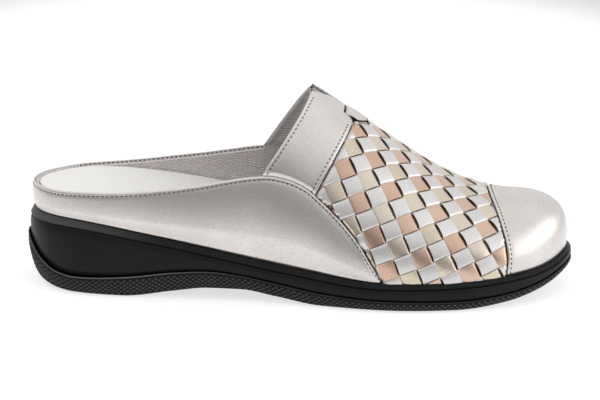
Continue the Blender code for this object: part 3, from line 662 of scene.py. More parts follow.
def ridgeLevel(t, level):   # exactly 1 on the middle line, where both sides meet
    return np.where(np.abs(t) < 1e-9, 1.0, level)


def sideLength(side):
    return np.where(side < 0, planSides[-1][3], planSides[1][3])


quarter = {
    "columns": 280, "rows": 36, "tip": 0.004, "shareStep": 1e-3, "levelStep": 0.01,
    # soft swell over the sole: height, place up the wall, fade above it, wall that has it in full
    "belly": 1.8, "bellyAt": 0.30, "bellyFade": 1.3, "bellyWall": 30.0,
}


def layQuarter(u, v):
    t, side = bothSides(u)
    tips = {s: shareAt(s, edges["quarterFront"][-1][0]) - quarter["tip"] for s in (-1, 1)}
    share = np.abs(t) * np.where(side < 0, tips[-1], tips[1])
    top = levelAt(side, share, quarterHeight)
    level, down, total = levelBelow(side, share, top, rowsFromEdge(v * quarter["rows"], quarter["rows"]))
    # the front edge slopes, so the nearest way to it is shorter than the way down
    here, further = lastPoint(side, share, top), share + quarter["shareStep"]
    ahead = lastPoint(side, further, levelAt(side, further, quarterHeight)) - here
    upward = here - lastPoint(side, share, top - quarter["levelStep"])
    slant = np.linalg.norm(np.cross(ahead, upward), axis=1)
    slant /= np.linalg.norm(ahead, axis=1) * np.linalg.norm(upward, axis=1)
    away = down * slant
    rise = 1 - down / np.maximum(total, 1e-6)
    fall = np.clip((rise - quarter["bellyAt"]) / (1 - quarter["bellyAt"]), 0, 1)
    swell = quarter["belly"] * ease(rise / quarter["bellyAt"]) * (1 - fall ** quarter["bellyFade"])
    depth = edgeDepth(away) - swell * ease(total / quarter["bellyWall"])
    cloth = np.column_stack([t * sideLength(side), down])
    return skin(side, share, level, depth), cloth, {"edge": edgeMark(away), "tone": 0 * u}


quarterBm = layGrid(quarter["columns"], quarter["rows"], layQuarter)
finishPiece(quarterBm, "quarterLeather", silverLeather, "silver_leather", "quarter", wall=leather["wall"])

band = {
    "columns": 120, "rows": 44, "rearGirth": 0.12, "rearNotch": 0.54,
    "frontGirth": 0.155, "frontNotch": 0.24, "corner": 7.0,
    "width": 23.0, "girth": 60.0,   # usual sizes, for the rows and the cloth alone
    "lowest": 0.15, "highest": 0.9, "tuck": 3.0,   # levels that its foot lies between, and its way under
    "lap": 1.6, "lapRun": 2.2, "lapDepth": 1.3,   # sinks as it slides under the quarter
}


def rearCut(level):   # a long slant
    return band["rearNotch"] * np.clip(1 - (1 - level) / band["rearGirth"], 0, 1)


def frontCut(level):   # square, with a soft corner
    return band["frontNotch"] * ease(band["corner"] * (1 - (1 - level) / band["frontGirth"]))


def bandLimits(side, level):
    front = shareOn(side, level, lambda height: bandFront(height) - 0.5 * edges["seamGap"])
    return shareOn(side, level, throatSeam), front


def bandShare(side, level, across):
    rear, front = bandLimits(side, level)
    start = rear + (front - rear) * rearCut(level)
    finish = front - (front - rear) * frontCut(level)
    return start + (finish - start) * across


def layBand(u, v):
    t, side = bothSides(u)
    half = band["rows"] // 2
    index = np.rint(v * band["rows"])
    fromRear = index <= half
    step = np.where(fromRear, index, band["rows"] - index)
    fromEdge = rowsFromEdge(step, half)(0.5 * band["width"])
    across = np.where(fromRear, fromEdge, band["width"] - fromEdge) / band["width"]

    def footGap(level):
        point = lastPoint(side, bandShare(side, level, across), level)
        return quarterHeight(point[..., 0]) - band["tuck"] - point[..., 2]
    low = halve(footGap, np.full(len(u), band["lowest"]), np.full(len(u), band["highest"]))
    level = ridgeLevel(t, low + (1 - low) * (1 - np.abs(t)))
    share = bandShare(side, level, across)
    point = lastPoint(side, share, level)
    under = ease((quarterHeight(point[:, 0]) + band["lap"] - point[:, 2]) / band["lapRun"])
    depth = edgeDepth(fromEdge) + band["lapDepth"] * under
    cloth = np.column_stack([t * band["girth"], across * band["width"]])
    return skin(side, share, level, depth), cloth, {"edge": edgeMark(fromEdge), "tone": 0 * u}


bandBm = layGrid(band["columns"], band["rows"], layBand)
finishPiece(bandBm, "bandLeather", silverLeather, "silver_leather", "instep_band", wall=leather["wall"])

cap = {"columns": 150, "rows": 44, "span": 46.0, "girth": 45.0}   # usual sizes, for columns and cloth


def layCap(u, v):
    t, side = bothSides(u)
    level = np.where(v > 1 - 1e-9, 1.0, v)
    seam = shareOn(side, level, lambda height: capSeam(height) + 0.5 * edges["seamGap"])
    half = cap["columns"] // 2
    index = np.rint((1 - np.abs(t)) * half)
    share = seam + (1 - seam) * np.clip(rowsFromEdge(index, half)(cap["span"]) / cap["span"], 0, 1)
    away = np.linalg.norm(lastPoint(side, share, level) - lastPoint(side, seam, level), axis=1)
    share = np.where(index >= half, 1.0, share)
    cloth = np.column_stack([t * cap["span"], v * cap["girth"]])
    return skin(side, share, level, edgeDepth(away)), cloth, {"edge": edgeMark(away), "tone": 0 * u}


capBm = layGrid(cap["columns"], cap["rows"], layCap)
finishPiece(capBm, "capLeather", silverLeather, "silver_leather", "toe_cap", wall=leather["wall"])

gore = {
    "columns": 40, "rows": 14, "cloth": (12.0, 10.0), "fill": 0.95, "clear": 0.05, "least": 0.004,
    "depth": 0.3, "wall": 0.7, "shadowLineAt": 0.040, "shadowLineWide": 0.024,   # painted shadow: black line beside the ridge, for the gap under the band's notch edge
}


def layGore(u, v):
    t, side = bothSides(u)
    level = ridgeLevel(t, 1 - band["rearGirth"] * gore["fill"] * np.abs(t))
    back, front = bandLimits(side, level)
    share = back + (front - back) * np.maximum(rearCut(level) - gore["clear"], gore["least"]) * v
    # painted shadow line near the ridge, carried by the edge mark
    line = np.exp(-((1 - level - gore["shadowLineAt"]) / gore["shadowLineWide"]) ** 2)
    return skin(side, share, level, gore["depth"]), np.column_stack([t, v]) * gore["cloth"], {"edge": line}


goreBm = layGrid(gore["columns"], gore["rows"], layGore)
finishPiece(goreBm, "goreElastic", elastic, "elastic", "gore", wall=gore["wall"])

tab = {
    "columns": 60, "rows": 24, "cloth": (12.0, 10.0), "fill": 0.94, "clear": 0.02, "past": 0.30,
    "taper": 0.75, "sunk": 0.1, "proud": 0.75, "wall": 0.5, "shadowRim": 0.55, "girth": 75.0,
}


def layTab(u, v):
    t, side = bothSides(u)
    spread = band["frontGirth"] * tab["fill"]
    level = ridgeLevel(t, 1 - spread * np.abs(t))
    back, front = bandLimits(side, level)
    start = front - (front - back) * (frontCut(level) - tab["clear"])
    finish = front + (front - back) * tab["past"] * (1 - tab["taper"] * t * t)
    share = start + (finish - start) * v
    # climbs out of the notch and over the first strips
    depth = tab["sunk"] - (tab["sunk"] + tab["proud"]) * ease(2 * v)
    fromEnds = np.minimum(v, 1 - v) * (finish - start) * planSides[-1][3]
    inside = np.minimum(fromEnds, (1 - np.abs(t)) * spread * tab["girth"])
    # painted shadow: a black rim round the tab stands in for the dark gap around it
    marks = {"edge": ease(2 - 2 * inside / tab["shadowRim"]), "tone": 0 * u}
    return skin(side, share, level, depth), np.column_stack([t, v]) * tab["cloth"], marks


tabBm = layGrid(tab["columns"], tab["rows"], layTab)
finishPiece(tabBm, "tabLeather", tabSilver, "silver_leather", "instep_tab", wall=tab["wall"])

# Basket weave: ribbons that really pass over and under, on a bias grid laid round the instep
weave = {
    "pitch": 8.58, "bias": math.radians(46.5), "slope": math.radians(24.0), "middle": 148.5, "turn": -34.5,
    "reach": 17, "alongSteps": 14, "acrossSteps": 6, "steady": (176, 190),
    "silverWidth": 0.97, "colourWidth": 0.985, "shift": 0.008, "bow": 0.04, "thickness": 0.42,
    # heights over the skin, then the shares of the pitch where a strip's flat and its dive end
    "silver": {"over": 0.24, "under": -0.9, "rear": (0.41, 0.56), "front": (0.40, 0.545),
               "swell": 0.24, "tilt": 0.16},
    "colour": {"over": -0.20, "under": -1.2, "rear": (0.46, 0.62), "front": (0.415, 0.55),
               "swell": 0.40, "tilt": 0.10},
    "crown": 0.03, "crisp": 50, "past": 3.0, "slant": 0.8,   # slant of the window's rear edge
    "tuckDepth": -1.75, "tuckRun": 0.8, "tuckLap": 0.3, "tuckLeft": 0.25,
    "alongs": (88, 222), "girths": 104, "deepest": -0.3, "lowest": -0.08,   # limits in mm and in levels
    "seed": 11, "tones": 80, "toneMost": 0.8, "edgeFrom": 0.8, "edgeMost": 0.15,
}


def weaveTable(side):   # share and level over distance along the weave's axis and girth from the ridge
    levels, shares = np.linspace(weave["deepest"], 1.0, 91), np.linspace(0.3, 1.0, 140)
    axis = np.array([math.cos(weave["slope"]), 0.0, -math.sin(weave["slope"])])
    run = np.maximum.accumulate(lastPoint(side, shares[None, :], levels[:, None]) @ axis, axis=1)
    alongs = np.arange(*weave["alongs"], dtype=float)
    girths = np.arange(weave["girths"], dtype=float)
    table = np.zeros((len(alongs), len(girths), 2))
    slices = []
    for along in alongs:
        onRow = np.array([np.interp(along, line, shares) for line in run])
        lengths = np.linalg.norm(np.diff(lastPoint(side, onRow, levels), axis=0), axis=1)
        slices.append((onRow, np.concatenate([[0], np.cumsum(lengths[::-1])])[::-1]))
    # past the gathered end of the ridge the girth at the foot keeps its pace
    feet = np.array([np.interp(0.0, levels, down) for _, down in slices])
    steady = (alongs > weave["steady"][0]) & (alongs <= weave["steady"][1])
    paced = np.polyval(np.polyfit(alongs[steady], feet[steady], 1), alongs)
    for row, (onRow, down) in enumerate(slices):
        if alongs[row] > weave["steady"][1]:
            down = down + paced[row] - feet[row]
        table[row, :, 1] = np.interp(-girths, -down, levels)
        table[row, :, 0] = np.interp(table[row, :, 1], levels, onRow)
    return table


weaveTables = {side: weaveTable(side) for side in (-1, 1)}


def weavePlace(along, girth):
    side = np.where(girth > 0, 1, -1)
    alongs, girths, _ = weaveTables[-1].shape
    a = np.clip(along - weave["alongs"][0], 0, alongs - 1.01)
    g = np.clip(np.abs(girth), 0, girths - 1.01)
    a0, g0 = a.astype(int), g.astype(int)
    fa, fg = (a - a0)[:, None], (g - g0)[:, None]
    found = {}
    for s, table in weaveTables.items():
        found[s] = ((table[a0, g0] * (1 - fa) + table[a0 + 1, g0] * fa) * (1 - fg)
                    + (table[a0, g0 + 1] * (1 - fa) + table[a0 + 1, g0 + 1] * fa) * fg)
    both = np.where((side < 0)[:, None], found[-1], found[1])
    return side, both[:, 0], both[:, 1]


def windowRoom(point):   # distance inside the woven window, negative outside
    rear = weave["slant"] * (point[:, 0] - windowRear(point[:, 2]) - edges["seamGap"])
    front = capSeam(point[:, 2]) - 0.5 * edges["seamGap"] - point[:, 0]
    return np.minimum(rear, front)


def ribbon(index, silver, tones):
    reach, wide = weave["reach"], weave["silverWidth" if silver else "colourWidth"]
    bm = bmesh.new()
    steps = 2 * reach * weave["alongSteps"]
    bmesh.ops.create_grid(bm, x_segments=steps, y_segments=weave["acrossSteps"], size=0.5)
    bm.verts.index_update()
    flat = np.array([vert.co[:2] for vert in bm.verts])
    run, breadth = flat[:, 0] * 2 * reach, 2 * flat[:, 1]   # breadth from -1 to 1
    across = flat[:, 1] * wide + weave["shift"]
    phase = run - 0.5 + index + (1 if silver else 0)
    offset = (phase + 1) % 2 - 1   # 0 where this ribbon lies on top, 1 either way where it lies under
    if silver:   # the raised rear edge draws in a little over each crossing
        across += weave["bow"] * np.clip(-breadth, 0, 1) ** 2 * np.clip(1 - (2 * offset) ** 2, 0, 1)
    middle = index + 0.5
    first, second = (middle + across, run) if silver else (run, middle + across)
    cos, sin = math.cos(weave["bias"]), math.sin(weave["bias"])
    along = weave["middle"] + weave["pitch"] * (first * cos - second * sin)
    girth = weave["turn"] + weave["pitch"] * (first * sin + second * cos)
    side, share, level = weavePlace(along, girth)
    form = weave["silver" if silver else "colour"]
    ends = np.where((offset > 0)[:, None], form["front"], form["rear"])
    away = np.abs(offset)
    dive = ease((away - ends[:, 0]) / (ends[:, 1] - ends[:, 0]))
    height = form["over"] + (form["under"] - form["over"]) * dive
    height += form["swell"] * np.cos(0.5 * math.pi * np.clip(away / ends[:, 1], 0, 1))
    height -= form["tilt"] * breadth * (1 - dive)   # rear edges stand up, front edges lie down
    height -= weave["crown"] * np.abs(breadth) ** 6
    room = windowRoom(lastPoint(side, share, level))
    tucked = ease(1 - (room + weave["tuckLap"]) / weave["tuckRun"])
    height = height * (1 - tucked) + (weave["tuckDepth"] + weave["tuckLeft"] * height) * tucked
    points = (skin(side, share, np.clip(level, weave["deepest"], 1.0), -height) + frameShift) * mm
    start, finish = weave["alongs"]
    keep = (room > -weave["past"]) & (level > weave["lowest"])
    keep &= (along > start + 1) & (along < finish - 2) & (np.abs(girth) < weave["girths"] - 2)
    half = weave["tones"] // 2
    tone = tones[index + half, np.clip(np.floor(run).astype(int) + half, 0, weave["tones"] - 1)]
    worn = (np.abs(breadth) - weave["edgeFrom"]) / (1 - weave["edgeFrom"])
    edge = weave["edgeMost"] * np.clip(worn, 0, 1)
    toneLayer, edgeLayer = bm.verts.layers.float.new("tone"), bm.verts.layers.float.new("edge")
    for i, vert in enumerate(bm.verts):
        vert.co = points[i]
        vert[toneLayer] = tone[i]
        vert[edgeLayer] = edge[i]
    bmesh.ops.delete(bm, geom=[vert for i, vert in enumerate(bm.verts) if not keep[i]], context="VERTS")
    return bm


def joinRibbons(kind, indexes):
    tones = np.random.default_rng(weave["seed"] + len(kind)).random((weave["tones"], weave["tones"]))
    whole = bmesh.new()
    for index in indexes:
        bm = ribbon(index, kind == "silver", tones * weave["toneMost"])
        if not bm.faces:
            bm.free()
            continue
        bm.normal_update()
        turnOutward(bm)
        bmesh.ops.solidify(bm, geom=bm.faces[:], thickness=weave["thickness"] * mm)
        scratch = bpy.data.meshes.new("ribbon")
        bm.to_mesh(scratch)
        bm.free()
        whole.from_mesh(scratch)
        bpy.data.meshes.remove(scratch)
    return whole


everyStrip = range(-weave["reach"], weave["reach"])
evenStrips, oddStrips = ([strip for strip in everyStrip if strip % 2 == rest] for rest in (0, 1))
for name, kind, strips, finish in (("silverStrips", "silver", everyStrip, silverStrip),
                                   ("roseStrips", "rose", evenStrips, roseStrip),
                                   ("goldStrips", "gold", oddStrips, goldStrip)):
    stripBm = joinRibbons(kind, strips)
    finishPiece(stripBm, name, finish, "woven_leather", "woven_vamp", crisp=weave["crisp"])

backing = {"columns": 60, "rows": 90, "depth": 1.95, "wall": 0.3, "cloth": (90.0, 80.0),
           "behind": 10.0, "ahead": 4.0}   # how far it reaches past the window


def layBacking(u, v):
    t, side = bothSides(v)
    level = ridgeLevel(t, 1 - np.abs(t))
    rear = shareOn(side, level, lambda height: windowRear(height) - backing["behind"])
    front = shareOn(side, level, lambda height: capSeam(height) + backing["ahead"])
    share = rear + (front - rear) * u
    cloth = np.column_stack([u, t]) * backing["cloth"]
    return skin(side, share, level, backing["depth"]), cloth, {"edge": 0 * u}


backingBm = layGrid(backing["columns"], backing["rows"], layBacking)
finishPiece(backingBm, "weaveBacking", blackBacking, "lining_fabric", "woven_vamp", wall=backing["wall"])

# Lining: knitted mesh sock inside the upper, ribbed elastic along the throat
lining = {
    "columns": 320, "rows": 34, "depth": 2.35, "wall": 0.6,
    "rimRun": 2.2, "rimDepth": 0.95, "rimDrop": 0.35,
    "ribRun": 1.5, "ribHem": 5.0, "hem": 0.6,   # the ribbed elastic has the wider hem
}


def layLining(u, v):
    t, side = bothSides(u)
    share = np.abs(t)
    top = levelAt(side, share, throatHeight)
    onRidge = top > 1 - 1e-6
    level, down, _ = levelBelow(side, share, top, rowsFromEdge(v * lining["rows"], lining["rows"]))
    level = np.where(onRidge & (v < 1e-9), 1.0, level)
    rim = np.where(onRidge, 0.0, ease(1 - down / lining["rimRun"]))
    point = skin(side, share, level, lining["depth"] + (lining["rimDepth"] - lining["depth"]) * rim)
    point[:, 2] -= lining["rimDrop"] * rim
    place = lastPoint(side, share, level)
    ribbed = ease((place[:, 2] - quarterHeight(place[:, 0])) / lining["ribRun"]) * (place[:, 0] > throatX)
    hem = np.where(ribbed > 0.5, lining["ribHem"], lining["hem"])
    # along the throat the cloth follows the edge's own rise
    cloth = np.column_stack([np.where(ribbed > 0.5, place[:, 2], t * sideLength(side)), down])
    return point, cloth, {"ribbed": ribbed, "edge": np.where(onRidge, 0, ease(3 - 2 * down / hem))}


liningBm = layGrid(lining["columns"], lining["rows"], layLining)
finishPiece(liningBm, "liningSock", liningMesh, "lining_fabric", "upper", wall=lining["wall"])

# Footbed: cupped cushion that fills the shoe between the lining's walls
footbed = {
    # station, height over the joint at the outer edge, the middle and the inner edge
    "rise": ((3.5, 11.5, 10, 11.5), (30, 12.3, 9.6, 13.6), (54, 12.5, 9.4, 16.8), (81, 12.3, 9.2, 19.8),
             (108, 9.5, 7.5, 19), (136, 6.5, 5, 11), (160, 4.6, 3.6, 5.6), (190, 4, 3.2, 4.2),
             (230, 3.8, 3, 3.8), (261, 3.6, 3.2, 3.6)),
    "depth": 3.3, "cupSpan": 45.0, "columns": 130, "wallRows": 3, "topRows": 34, "roll": 1.6,
    "crowd": 0.35, "highest": 0.9,   # rows crowd to the edges, which lie below this level
}
footbedRows = 2 * footbed["wallRows"] + footbed["topRows"] + 2
riseTable = np.array(footbed["rise"])
riseOuter, riseMiddle, riseInner = (smoothLine(riseTable[:, 0], riseTable[:, index]) for index in (1, 2, 3))


def layFootbed(u, v):
    wallRows, topRows = footbed["wallRows"], footbed["topRows"]
    index = np.rint(v * footbedRows)
    zeros = np.zeros(len(u))
    tops, feet = {}, {}
    for side, rise in ((-1, riseOuter), (1, riseInner)):
        sides = np.full(len(u), side)
        station = planPoint(side, u)[0]
        goal = jointLine(station) + rise(station)
        level = halve(lambda at: goal - lastPoint(sides, u, at)[..., 2], zeros, zeros + footbed["highest"])
        feet[side] = skin(sides, u, zeros, footbed["depth"])
        tops[side] = skin(sides, u, level, footbed["depth"])
    width = np.linalg.norm(tops[1] - tops[-1], axis=1)
    fullness = np.minimum(1, width / footbed["cupSpan"])
    across = np.clip(2 * (index - wallRows) / topRows - 1, -1, 1)
    across = np.sin(0.5 * math.pi * across) * footbed["crowd"] + across * (1 - footbed["crowd"])
    way = 0.5 * (across + 1)[:, None]
    top = tops[-1] * (1 - way) + tops[1] * way
    middle = jointLine(top[:, 0]) + riseMiddle(top[:, 0])
    top[:, 2] += fullness * (middle - top[:, 2]) * (1 - across ** 2)
    fromEdge = 0.5 * width * (1 - np.abs(across))
    rolled = 1 - np.sqrt(1 - np.clip(1 - fromEdge / footbed["roll"], 0, 1) ** 2)
    top[:, 2] -= footbed["roll"] * fullness * rolled
    outer = index <= wallRows
    climb = np.clip(np.where(outer, index, footbedRows - 2 - index) / wallRows, 0, 1)[:, None]
    foot = np.where(outer[:, None], feet[-1], feet[1])
    onWall = ((index < wallRows) | (index > wallRows + topRows))[:, None]
    at = np.where(onWall, foot + (top - foot) * climb, top)
    back = ((index - (footbedRows - 2)) / 2)[:, None]   # the way back underneath
    at = np.where(back > 0, feet[1] * (1 - back) + feet[-1] * back, at)
    return at, at[:, :2], {"edge": 0 * u}


footbedBm = layGrid(footbed["columns"], footbedRows, layFootbed)
mergeVerts(footbedBm)
footbedCushion = finishPiece(footbedBm, "footbedCushion", footbedFabric, "footbed_fabric", "insole")

# Sole: floor, top of the outsole band, and the wedge between that and the upper
sole = {
    # station, floor, top of the outsole band
    "line": ((0, 7, 24), (4, 4.2, 18.8), (8, 2.2, 14.6), (16, 0.5, 10.3), (24, 0, 9), (48, 0, 10.4),
             (72, 3, 13.2), (88, 4.9, 14.1), (104, 5, 12.7), (120, 2.8, 10.1), (142, 0, 6.8),
             (168, 0, 5.3), (206, 0, 5), (231, 2.3, 6.9), (246, 5.6, 9.8), (256, 8.8, 13.1),
             (262, 11, 15.1)),
    "length": 257.5, "lipHeel": 3.2, "lipToe": 1.6, "columns": 420, "round": 640.0,
}
soleTable = np.array(sole["line"])
floorLine, bandLine = (heldLine(soleTable[:, 0], soleTable[:, index]) for index in (1, 2))


def roundSole(u):   # once round the sole: side and share
    turn = u % 1.0
    return np.where(turn < 0.5, -1, 1), np.where(turn < 0.5, 2 * turn, 2 - 2 * turn)


wedge = {
    # outset, lips below the joint, share of the way from there to the outsole
    "rings": ((-4, 0, 0), (-1.5, 0, 0), (0.3, 0, 0), (0.7, 0.06, 0), (2.1, 0.86, 0), (2.32, 0.96, 0),
              (2.2, 1.04, 0), (1.35, 1.12, 0), (1.15, 1.2, 0.0), (1.25, 1.3, 0.0), (1.95, 1.42, 0.0),
              (2.2, 1.5, 0.04), (2.42, 1.5, 0.14), (2.52, 1.5, 0.28), (2.5, 1.5, 0.45), (2.4, 1.5, 0.62),
              (2.2, 1.5, 0.8), (1.9, 1.5, 0.97), (-4, 1.5, 1.0)),
    "bevelAt": 0.5, "bevelWide": 0.45, "bevelFull": 1.15, "bevelRun": 65.0,   # in lips, then along the shoe
}


def layWedge(u, v):
    rings = np.array(wedge["rings"], float)
    side, share = roundSole(u)
    outset, lips, way = rings[np.rint(v * (len(rings) - 1)).astype(int)].T
    x, y = eitherPoint(side, share, outset)
    lip = sole["lipHeel"] + (sole["lipToe"] - sole["lipHeel"]) * x / sole["length"]
    drop = jointLine(x) - lips * lip
    z = drop + way * (bandLine(x) + last["fit"] - drop)
    # painted highlight on the lip's upward-facing bevel, at the heel only
    bevelHighlight = np.exp(-((lips - wedge["bevelAt"]) / wedge["bevelWide"]) ** 2) * (way == 0)
    bevelHighlight *= ease(wedge["bevelFull"] - x / wedge["bevelRun"])
    return np.column_stack([x, y, z]), np.column_stack([u * sole["round"], z]), {"edge": bevelHighlight}


wedgeBm = layGrid(sole["columns"], len(wedge["rings"]) - 1, layWedge)
closeRing(wedgeBm)
finishPiece(wedgeBm, "wedgeSole", midsoleRubber, "midsole_rubber", "midsole")

tread = {
    "columns": 2000, "bandRows": 26, "knurl": 2.95, "depth": 0.6, "slope": 1.4, "groove": 0.42,
    "flat": 0.10, "sunk": 0.8, "padHighlight": 0.30, "heelFull": 0.7, "heelRun": 30.0,
    # painted highlight on the crest, palest at the heel
    "crestHighlights": (0.6, 1.0), "crestLeast": 0.35, "crestEnd": 110.0, "crestRun": 60.0,
    # outset and share of the band, from the floor to the side and the crest
    "rings": ((-7, 0), (-3, 0.0), (-1.2, 0.02), (0.2, 0.10)),
    "side": ((0.6, 0.14), (1.7, 0.36), (2.55, 0.66), (2.62, 0.86)),
    "crest": ((2.72, 0.93), (2.68, 0.965), (2.58, 0.99), (2.36, 1.0), (-4, 1.0)),
}


def layTread(u, v):
    side, share = roundSole(u)
    outsets, ways = np.array(tread["side"]).T
    bandWays = np.linspace(ways[0], ways[-1], tread["bandRows"] + 1)
    spread = np.column_stack([smoothLine(ways, outsets)(bandWays), bandWays])
    rings = np.vstack([tread["rings"], spread, tread["crest"]])
    index = np.rint(v * (len(rings) - 1)).astype(int)
    outset, way = rings[index].T
    heel = np.exp(-(eitherPoint(side, share)[0] / tread["heelRun"]) ** 2) * (outset > 0)
    outset = outset + heelBulge * np.clip(way / tread["heelFull"], 0, 1) * heel
    # knurl: two families of slanting ridges on the side band
    start = len(tread["rings"])
    onBand = ((index > start) & (index < start + tread["bandRows"])).astype(float)
    x = eitherPoint(side, share, outset)[0]
    floor, top = floorLine(x), bandLine(x)
    run = np.where(side < 0, share * planSides[-1][3], 2 * planSides[-1][3] - share * planSides[1][3])
    slide = (way - 0.5) * (top - floor) * tread["slope"]
    ridges = [1 - 2 * np.abs((run + sign * slide) / tread["knurl"] % 1 - 0.5) for sign in (-1, 1)]
    pad = ease((np.minimum(*ridges) - tread["flat"]) / tread["groove"])
    x, y = eitherPoint(side, share, outset + onBand * tread["depth"] * (pad - tread["sunk"]))
    z = floor + way * (top - floor)
    # painted highlight along the crest, fading towards the toe
    pale = ease((tread["crestEnd"] - x) / tread["crestRun"])
    pale = tread["crestLeast"] + (1 - tread["crestLeast"]) * pale
    crest = np.select([index == len(rings) - 4, index == len(rings) - 3], tread["crestHighlights"], 0.0) * pale
    # knurl pads painted paler than the grooves: painted highlight on the pads, painted shade in the grooves
    marks = {"edge": crest + tread["padHighlight"] * onBand * pad}
    return np.column_stack([x, y, z]), np.column_stack([run, z]), marks


treadRows = len(tread["rings"]) + tread["bandRows"] + len(tread["crest"])
treadBm = layGrid(tread["columns"], treadRows, layTread)
closeRing(treadBm)
finishPiece(treadBm, "treadSole", outsoleRubber, "outsole_rubber", "outsole")

# Stitch rows: short sunk dashes of thread
stitch = {
    "pitch": 2.25, "length": 1.55, "thick": 0.58, "proud": 0.05, "probe": 0.3,
    "bandSteps": 60, "liningSteps": 260,
    # both rows of the band stop at its notches, and the lining's row runs round the collar
    "bandRear": ((0, 0.38), (0.62, 1)), "bandFront": ((0, 0.345), (0.655, 1)),
    "collar": (0.285, 0.715), "collarInset": 1.0,
}


def pointAt(run, values, at):
    return np.array([np.interp(at, run, values[:, axis]) for axis in range(3)])


def sewAlong(bm, points, normals):
    run = np.concatenate([[0], np.cumsum(np.linalg.norm(np.diff(points, axis=0), axis=1))])
    for at in np.arange(0.5 * stitch["pitch"], run[-1], stitch["pitch"]):
        ahead, behind = (pointAt(run, points, at + way) for way in (stitch["probe"], -stitch["probe"]))
        along = Vector(ahead - behind).normalized()
        side = Vector(pointAt(run, normals, at)).normalized().cross(along).normalized()
        up = along.cross(side)
        centre = Vector((pointAt(run, points, at) + frameShift) * mm) + up * stitch["proud"] * mm
        length, thick = 0.5 * stitch["length"], 0.5 * stitch["thick"]
        turn = Matrix((along * length, side * thick, up * thick)).transposed().to_4x4()
        place = Matrix.Translation(centre) @ turn
        bmesh.ops.create_uvsphere(bm, u_segments=6, v_segments=4, radius=mm, matrix=place)


def rowOn(lay, fixed, span, steps, alongU):   # a stitch row that follows a laid piece at its stitch inset
    run = np.linspace(span[0], span[1], steps)
    u, v = (run, np.full(steps, fixed)) if alongU else (np.full(steps, fixed), run)
    return lay(u, v)[0]


def sewPiece(bm, lay, fixed, nudge, steps, alongU=True, span=(0, 1), inward=0.0):
    points = rowOn(lay, fixed, span, steps, alongU)
    normal = np.cross(np.gradient(points, axis=0), rowOn(lay, fixed + nudge, span, steps, alongU) - points)
    normal /= np.maximum(np.linalg.norm(normal, axis=1), 1e-9)[:, None]
    outward = points * (0, 1, 1) - (0, 0, footCore)
    normal *= np.sign(np.sum(normal * outward, axis=1))[:, None]
    if inward:   # on the inner face of a wall
        points, normal = points - inward * normal, -normal
    sewAlong(bm, points, normal)


insetRow = list(leather["nearRows"]).index(leather["stitchInset"])
stitches = bmesh.new()
sewPiece(stitches, layQuarter, insetRow / quarter["rows"], 1 / quarter["rows"], quarter["columns"] + 1)
bandInset, bandNudge = insetRow / band["rows"], 1 / band["rows"]
for span in stitch["bandRear"]:
    sewPiece(stitches, layBand, bandInset, bandNudge, stitch["bandSteps"], span=span)
for span in stitch["bandFront"]:
    sewPiece(stitches, layBand, 1 - bandInset, -bandNudge, stitch["bandSteps"], span=span)
capInset, capNudge = (insetRow - 1) / cap["columns"], 1 / cap["columns"]
for inset, nudge in ((capInset, capNudge), (1 - capInset, -capNudge)):
    sewPiece(stitches, layCap, inset, nudge, cap["rows"] + 1, alongU=False)
innerRow = list(leather["nearRows"]).index(stitch["collarInset"]) / lining["rows"]
sewPiece(stitches, layLining, innerRow, 1 / lining["rows"], stitch["liningSteps"],
         span=stitch["collar"], inward=lining["wall"])
finishPiece(stitches, "seamStitches", thread, "silver_leather")

# Stage: pale floor, whitest round the shoe, soft light, and the photograph's camera
stageLook = {
    "size": 4.0, "white": 0.48, "glow": 0.70, "rim": (0.50, 0.92), "far": 0.32,
    "middle": (0.0, -0.17, 0.0), "stretch": (1.7, 1.0, 1.0),   # painted pool of light, a little behind the shoe
}
floorBm = bmesh.new()
bmesh.ops.create_grid(floorBm, x_segments=1, y_segments=1, size=stageLook["size"])
floorMesh = bpy.data.meshes.new("floor")
floorBm.to_mesh(floorMesh)
floorBm.free()
floor = bpy.data.objects.new("floor", floorMesh)
bpy.context.scene.collection.objects.link(floor)
floorFinish, floorTree, floorShader = newFinish("paleFloor")
# the floor glows: its colour and glow fall off away from the shoe, a painted pool of light
pool = addNode(floorTree, "ShaderNodeMapping", {
    "Vector": objectPlace(floorTree), "Location": stageLook["middle"], "Scale": stageLook["stretch"]})
fromMiddle = addNode(floorTree, "ShaderNodeVectorMath", {0: pool.outputs["Vector"]}, operation="LENGTH")
poolOfLight = softRange(floorTree, fromMiddle.outputs["Value"], stageLook["rim"], 1.0, stageLook["far"])
for socket, white in (("Base Color", stageLook["white"]), ("Emission Color", 1.0)):
    shade = mixColours(floorTree, poolOfLight, (0.0, 0.0, 0.0), (white, white, white))
    fillInputs(floorTree, floorShader, {socket: shade})
fillInputs(floorTree, floorShader, {
    "Roughness": 0.9, "Specular IOR Level": 0.0, "Emission Strength": stageLook["glow"]})
floorMesh.materials.append(floorFinish)

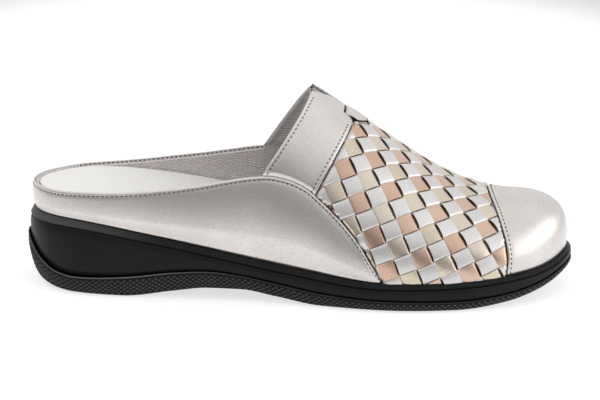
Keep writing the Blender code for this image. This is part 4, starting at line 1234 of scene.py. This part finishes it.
light = {
    "sky": 0.9, "dim": 0.05, "dimHigh": (0.14, 0.50), "dimSide": (0.0, 0.55), "dimFrom": (-0.42, -0.9, 0.0),
    "top": 0.12, "topHigh": (0.5, 0.95),
    "box": (1.0, -0.15, 0.10), "boxSpread": (0.74, 0.96), "boxGain": 1.25,   # low softbox off the toe
}
world = bpy.data.worlds.new("studio")
bpy.context.scene.world = world
world.use_nodes = True
tree = world.node_tree
heading = addNode(tree, "ShaderNodeTexCoord").outputs["Generated"]
height = addNode(tree, "ShaderNodeSeparateXYZ", {0: heading}).outputs["Z"]


def towards(direction):   # cosine of the angle between the heading and a direction
    values = {0: heading, 1: Vector(direction).normalized()}
    return addNode(tree, "ShaderNodeVectorMath", values, operation="DOT_PRODUCT").outputs["Value"]


front = softRange(tree, towards(light["dimFrom"]), light["dimSide"], 0.0, 1.0)
low = softRange(tree, height, light["dimHigh"], 1.0, 0.0)
box = softRange(tree, towards(light["box"]), light["boxSpread"], 0.0, light["boxGain"])
above = softRange(tree, height, light["topHigh"], 0.0, light["top"])
dimmed = mathNode(tree, "MULTIPLY", front, low)
strength = mathNode(tree, "MULTIPLY_ADD", dimmed, light["sky"] * (light["dim"] - 1), light["sky"])
strength = mathNode(tree, "ADD", mathNode(tree, "ADD", strength, box), above)
fillInputs(tree, tree.nodes["Background"], {"Color": (1, 1, 1, 1), "Strength": strength})

photo = {"elevation": 15.5, "roll": 1.2, "distance": 1100.0, "pixelsPerMm": 2.07, "width": 600,
         "aim": (131.0, 0.0, 40.4)}   # aim in the last's own millimetres
tilt, roll = math.radians(photo["elevation"]), math.radians(photo["roll"])
back = Vector((0, -math.cos(tilt), math.sin(tilt)))
right = Vector((1, 0, 0))
up = back.cross(right)
rightRolled = right * math.cos(roll) + up * math.sin(roll)
upRolled = up * math.cos(roll) - right * math.sin(roll)
aim = Vector((np.array(photo["aim"]) + frameShift) * mm)
cameraData = bpy.data.cameras.new("photoCamera")
cameraData.sensor_width = 36.0
cameraData.lens = photo["pixelsPerMm"] * photo["distance"] / photo["width"] * cameraData.sensor_width
camera = bpy.data.objects.new("photoCamera", cameraData)
bpy.context.scene.collection.objects.link(camera)
turn = Matrix((rightRolled, upRolled, back)).transposed().to_4x4()
camera.matrix_world = Matrix.Translation(aim + back * photo["distance"] * mm) @ turn
bpy.context.scene.camera = camera
bpy.context.scene.view_settings.view_transform = "Standard"
print("stage, light and camera set")
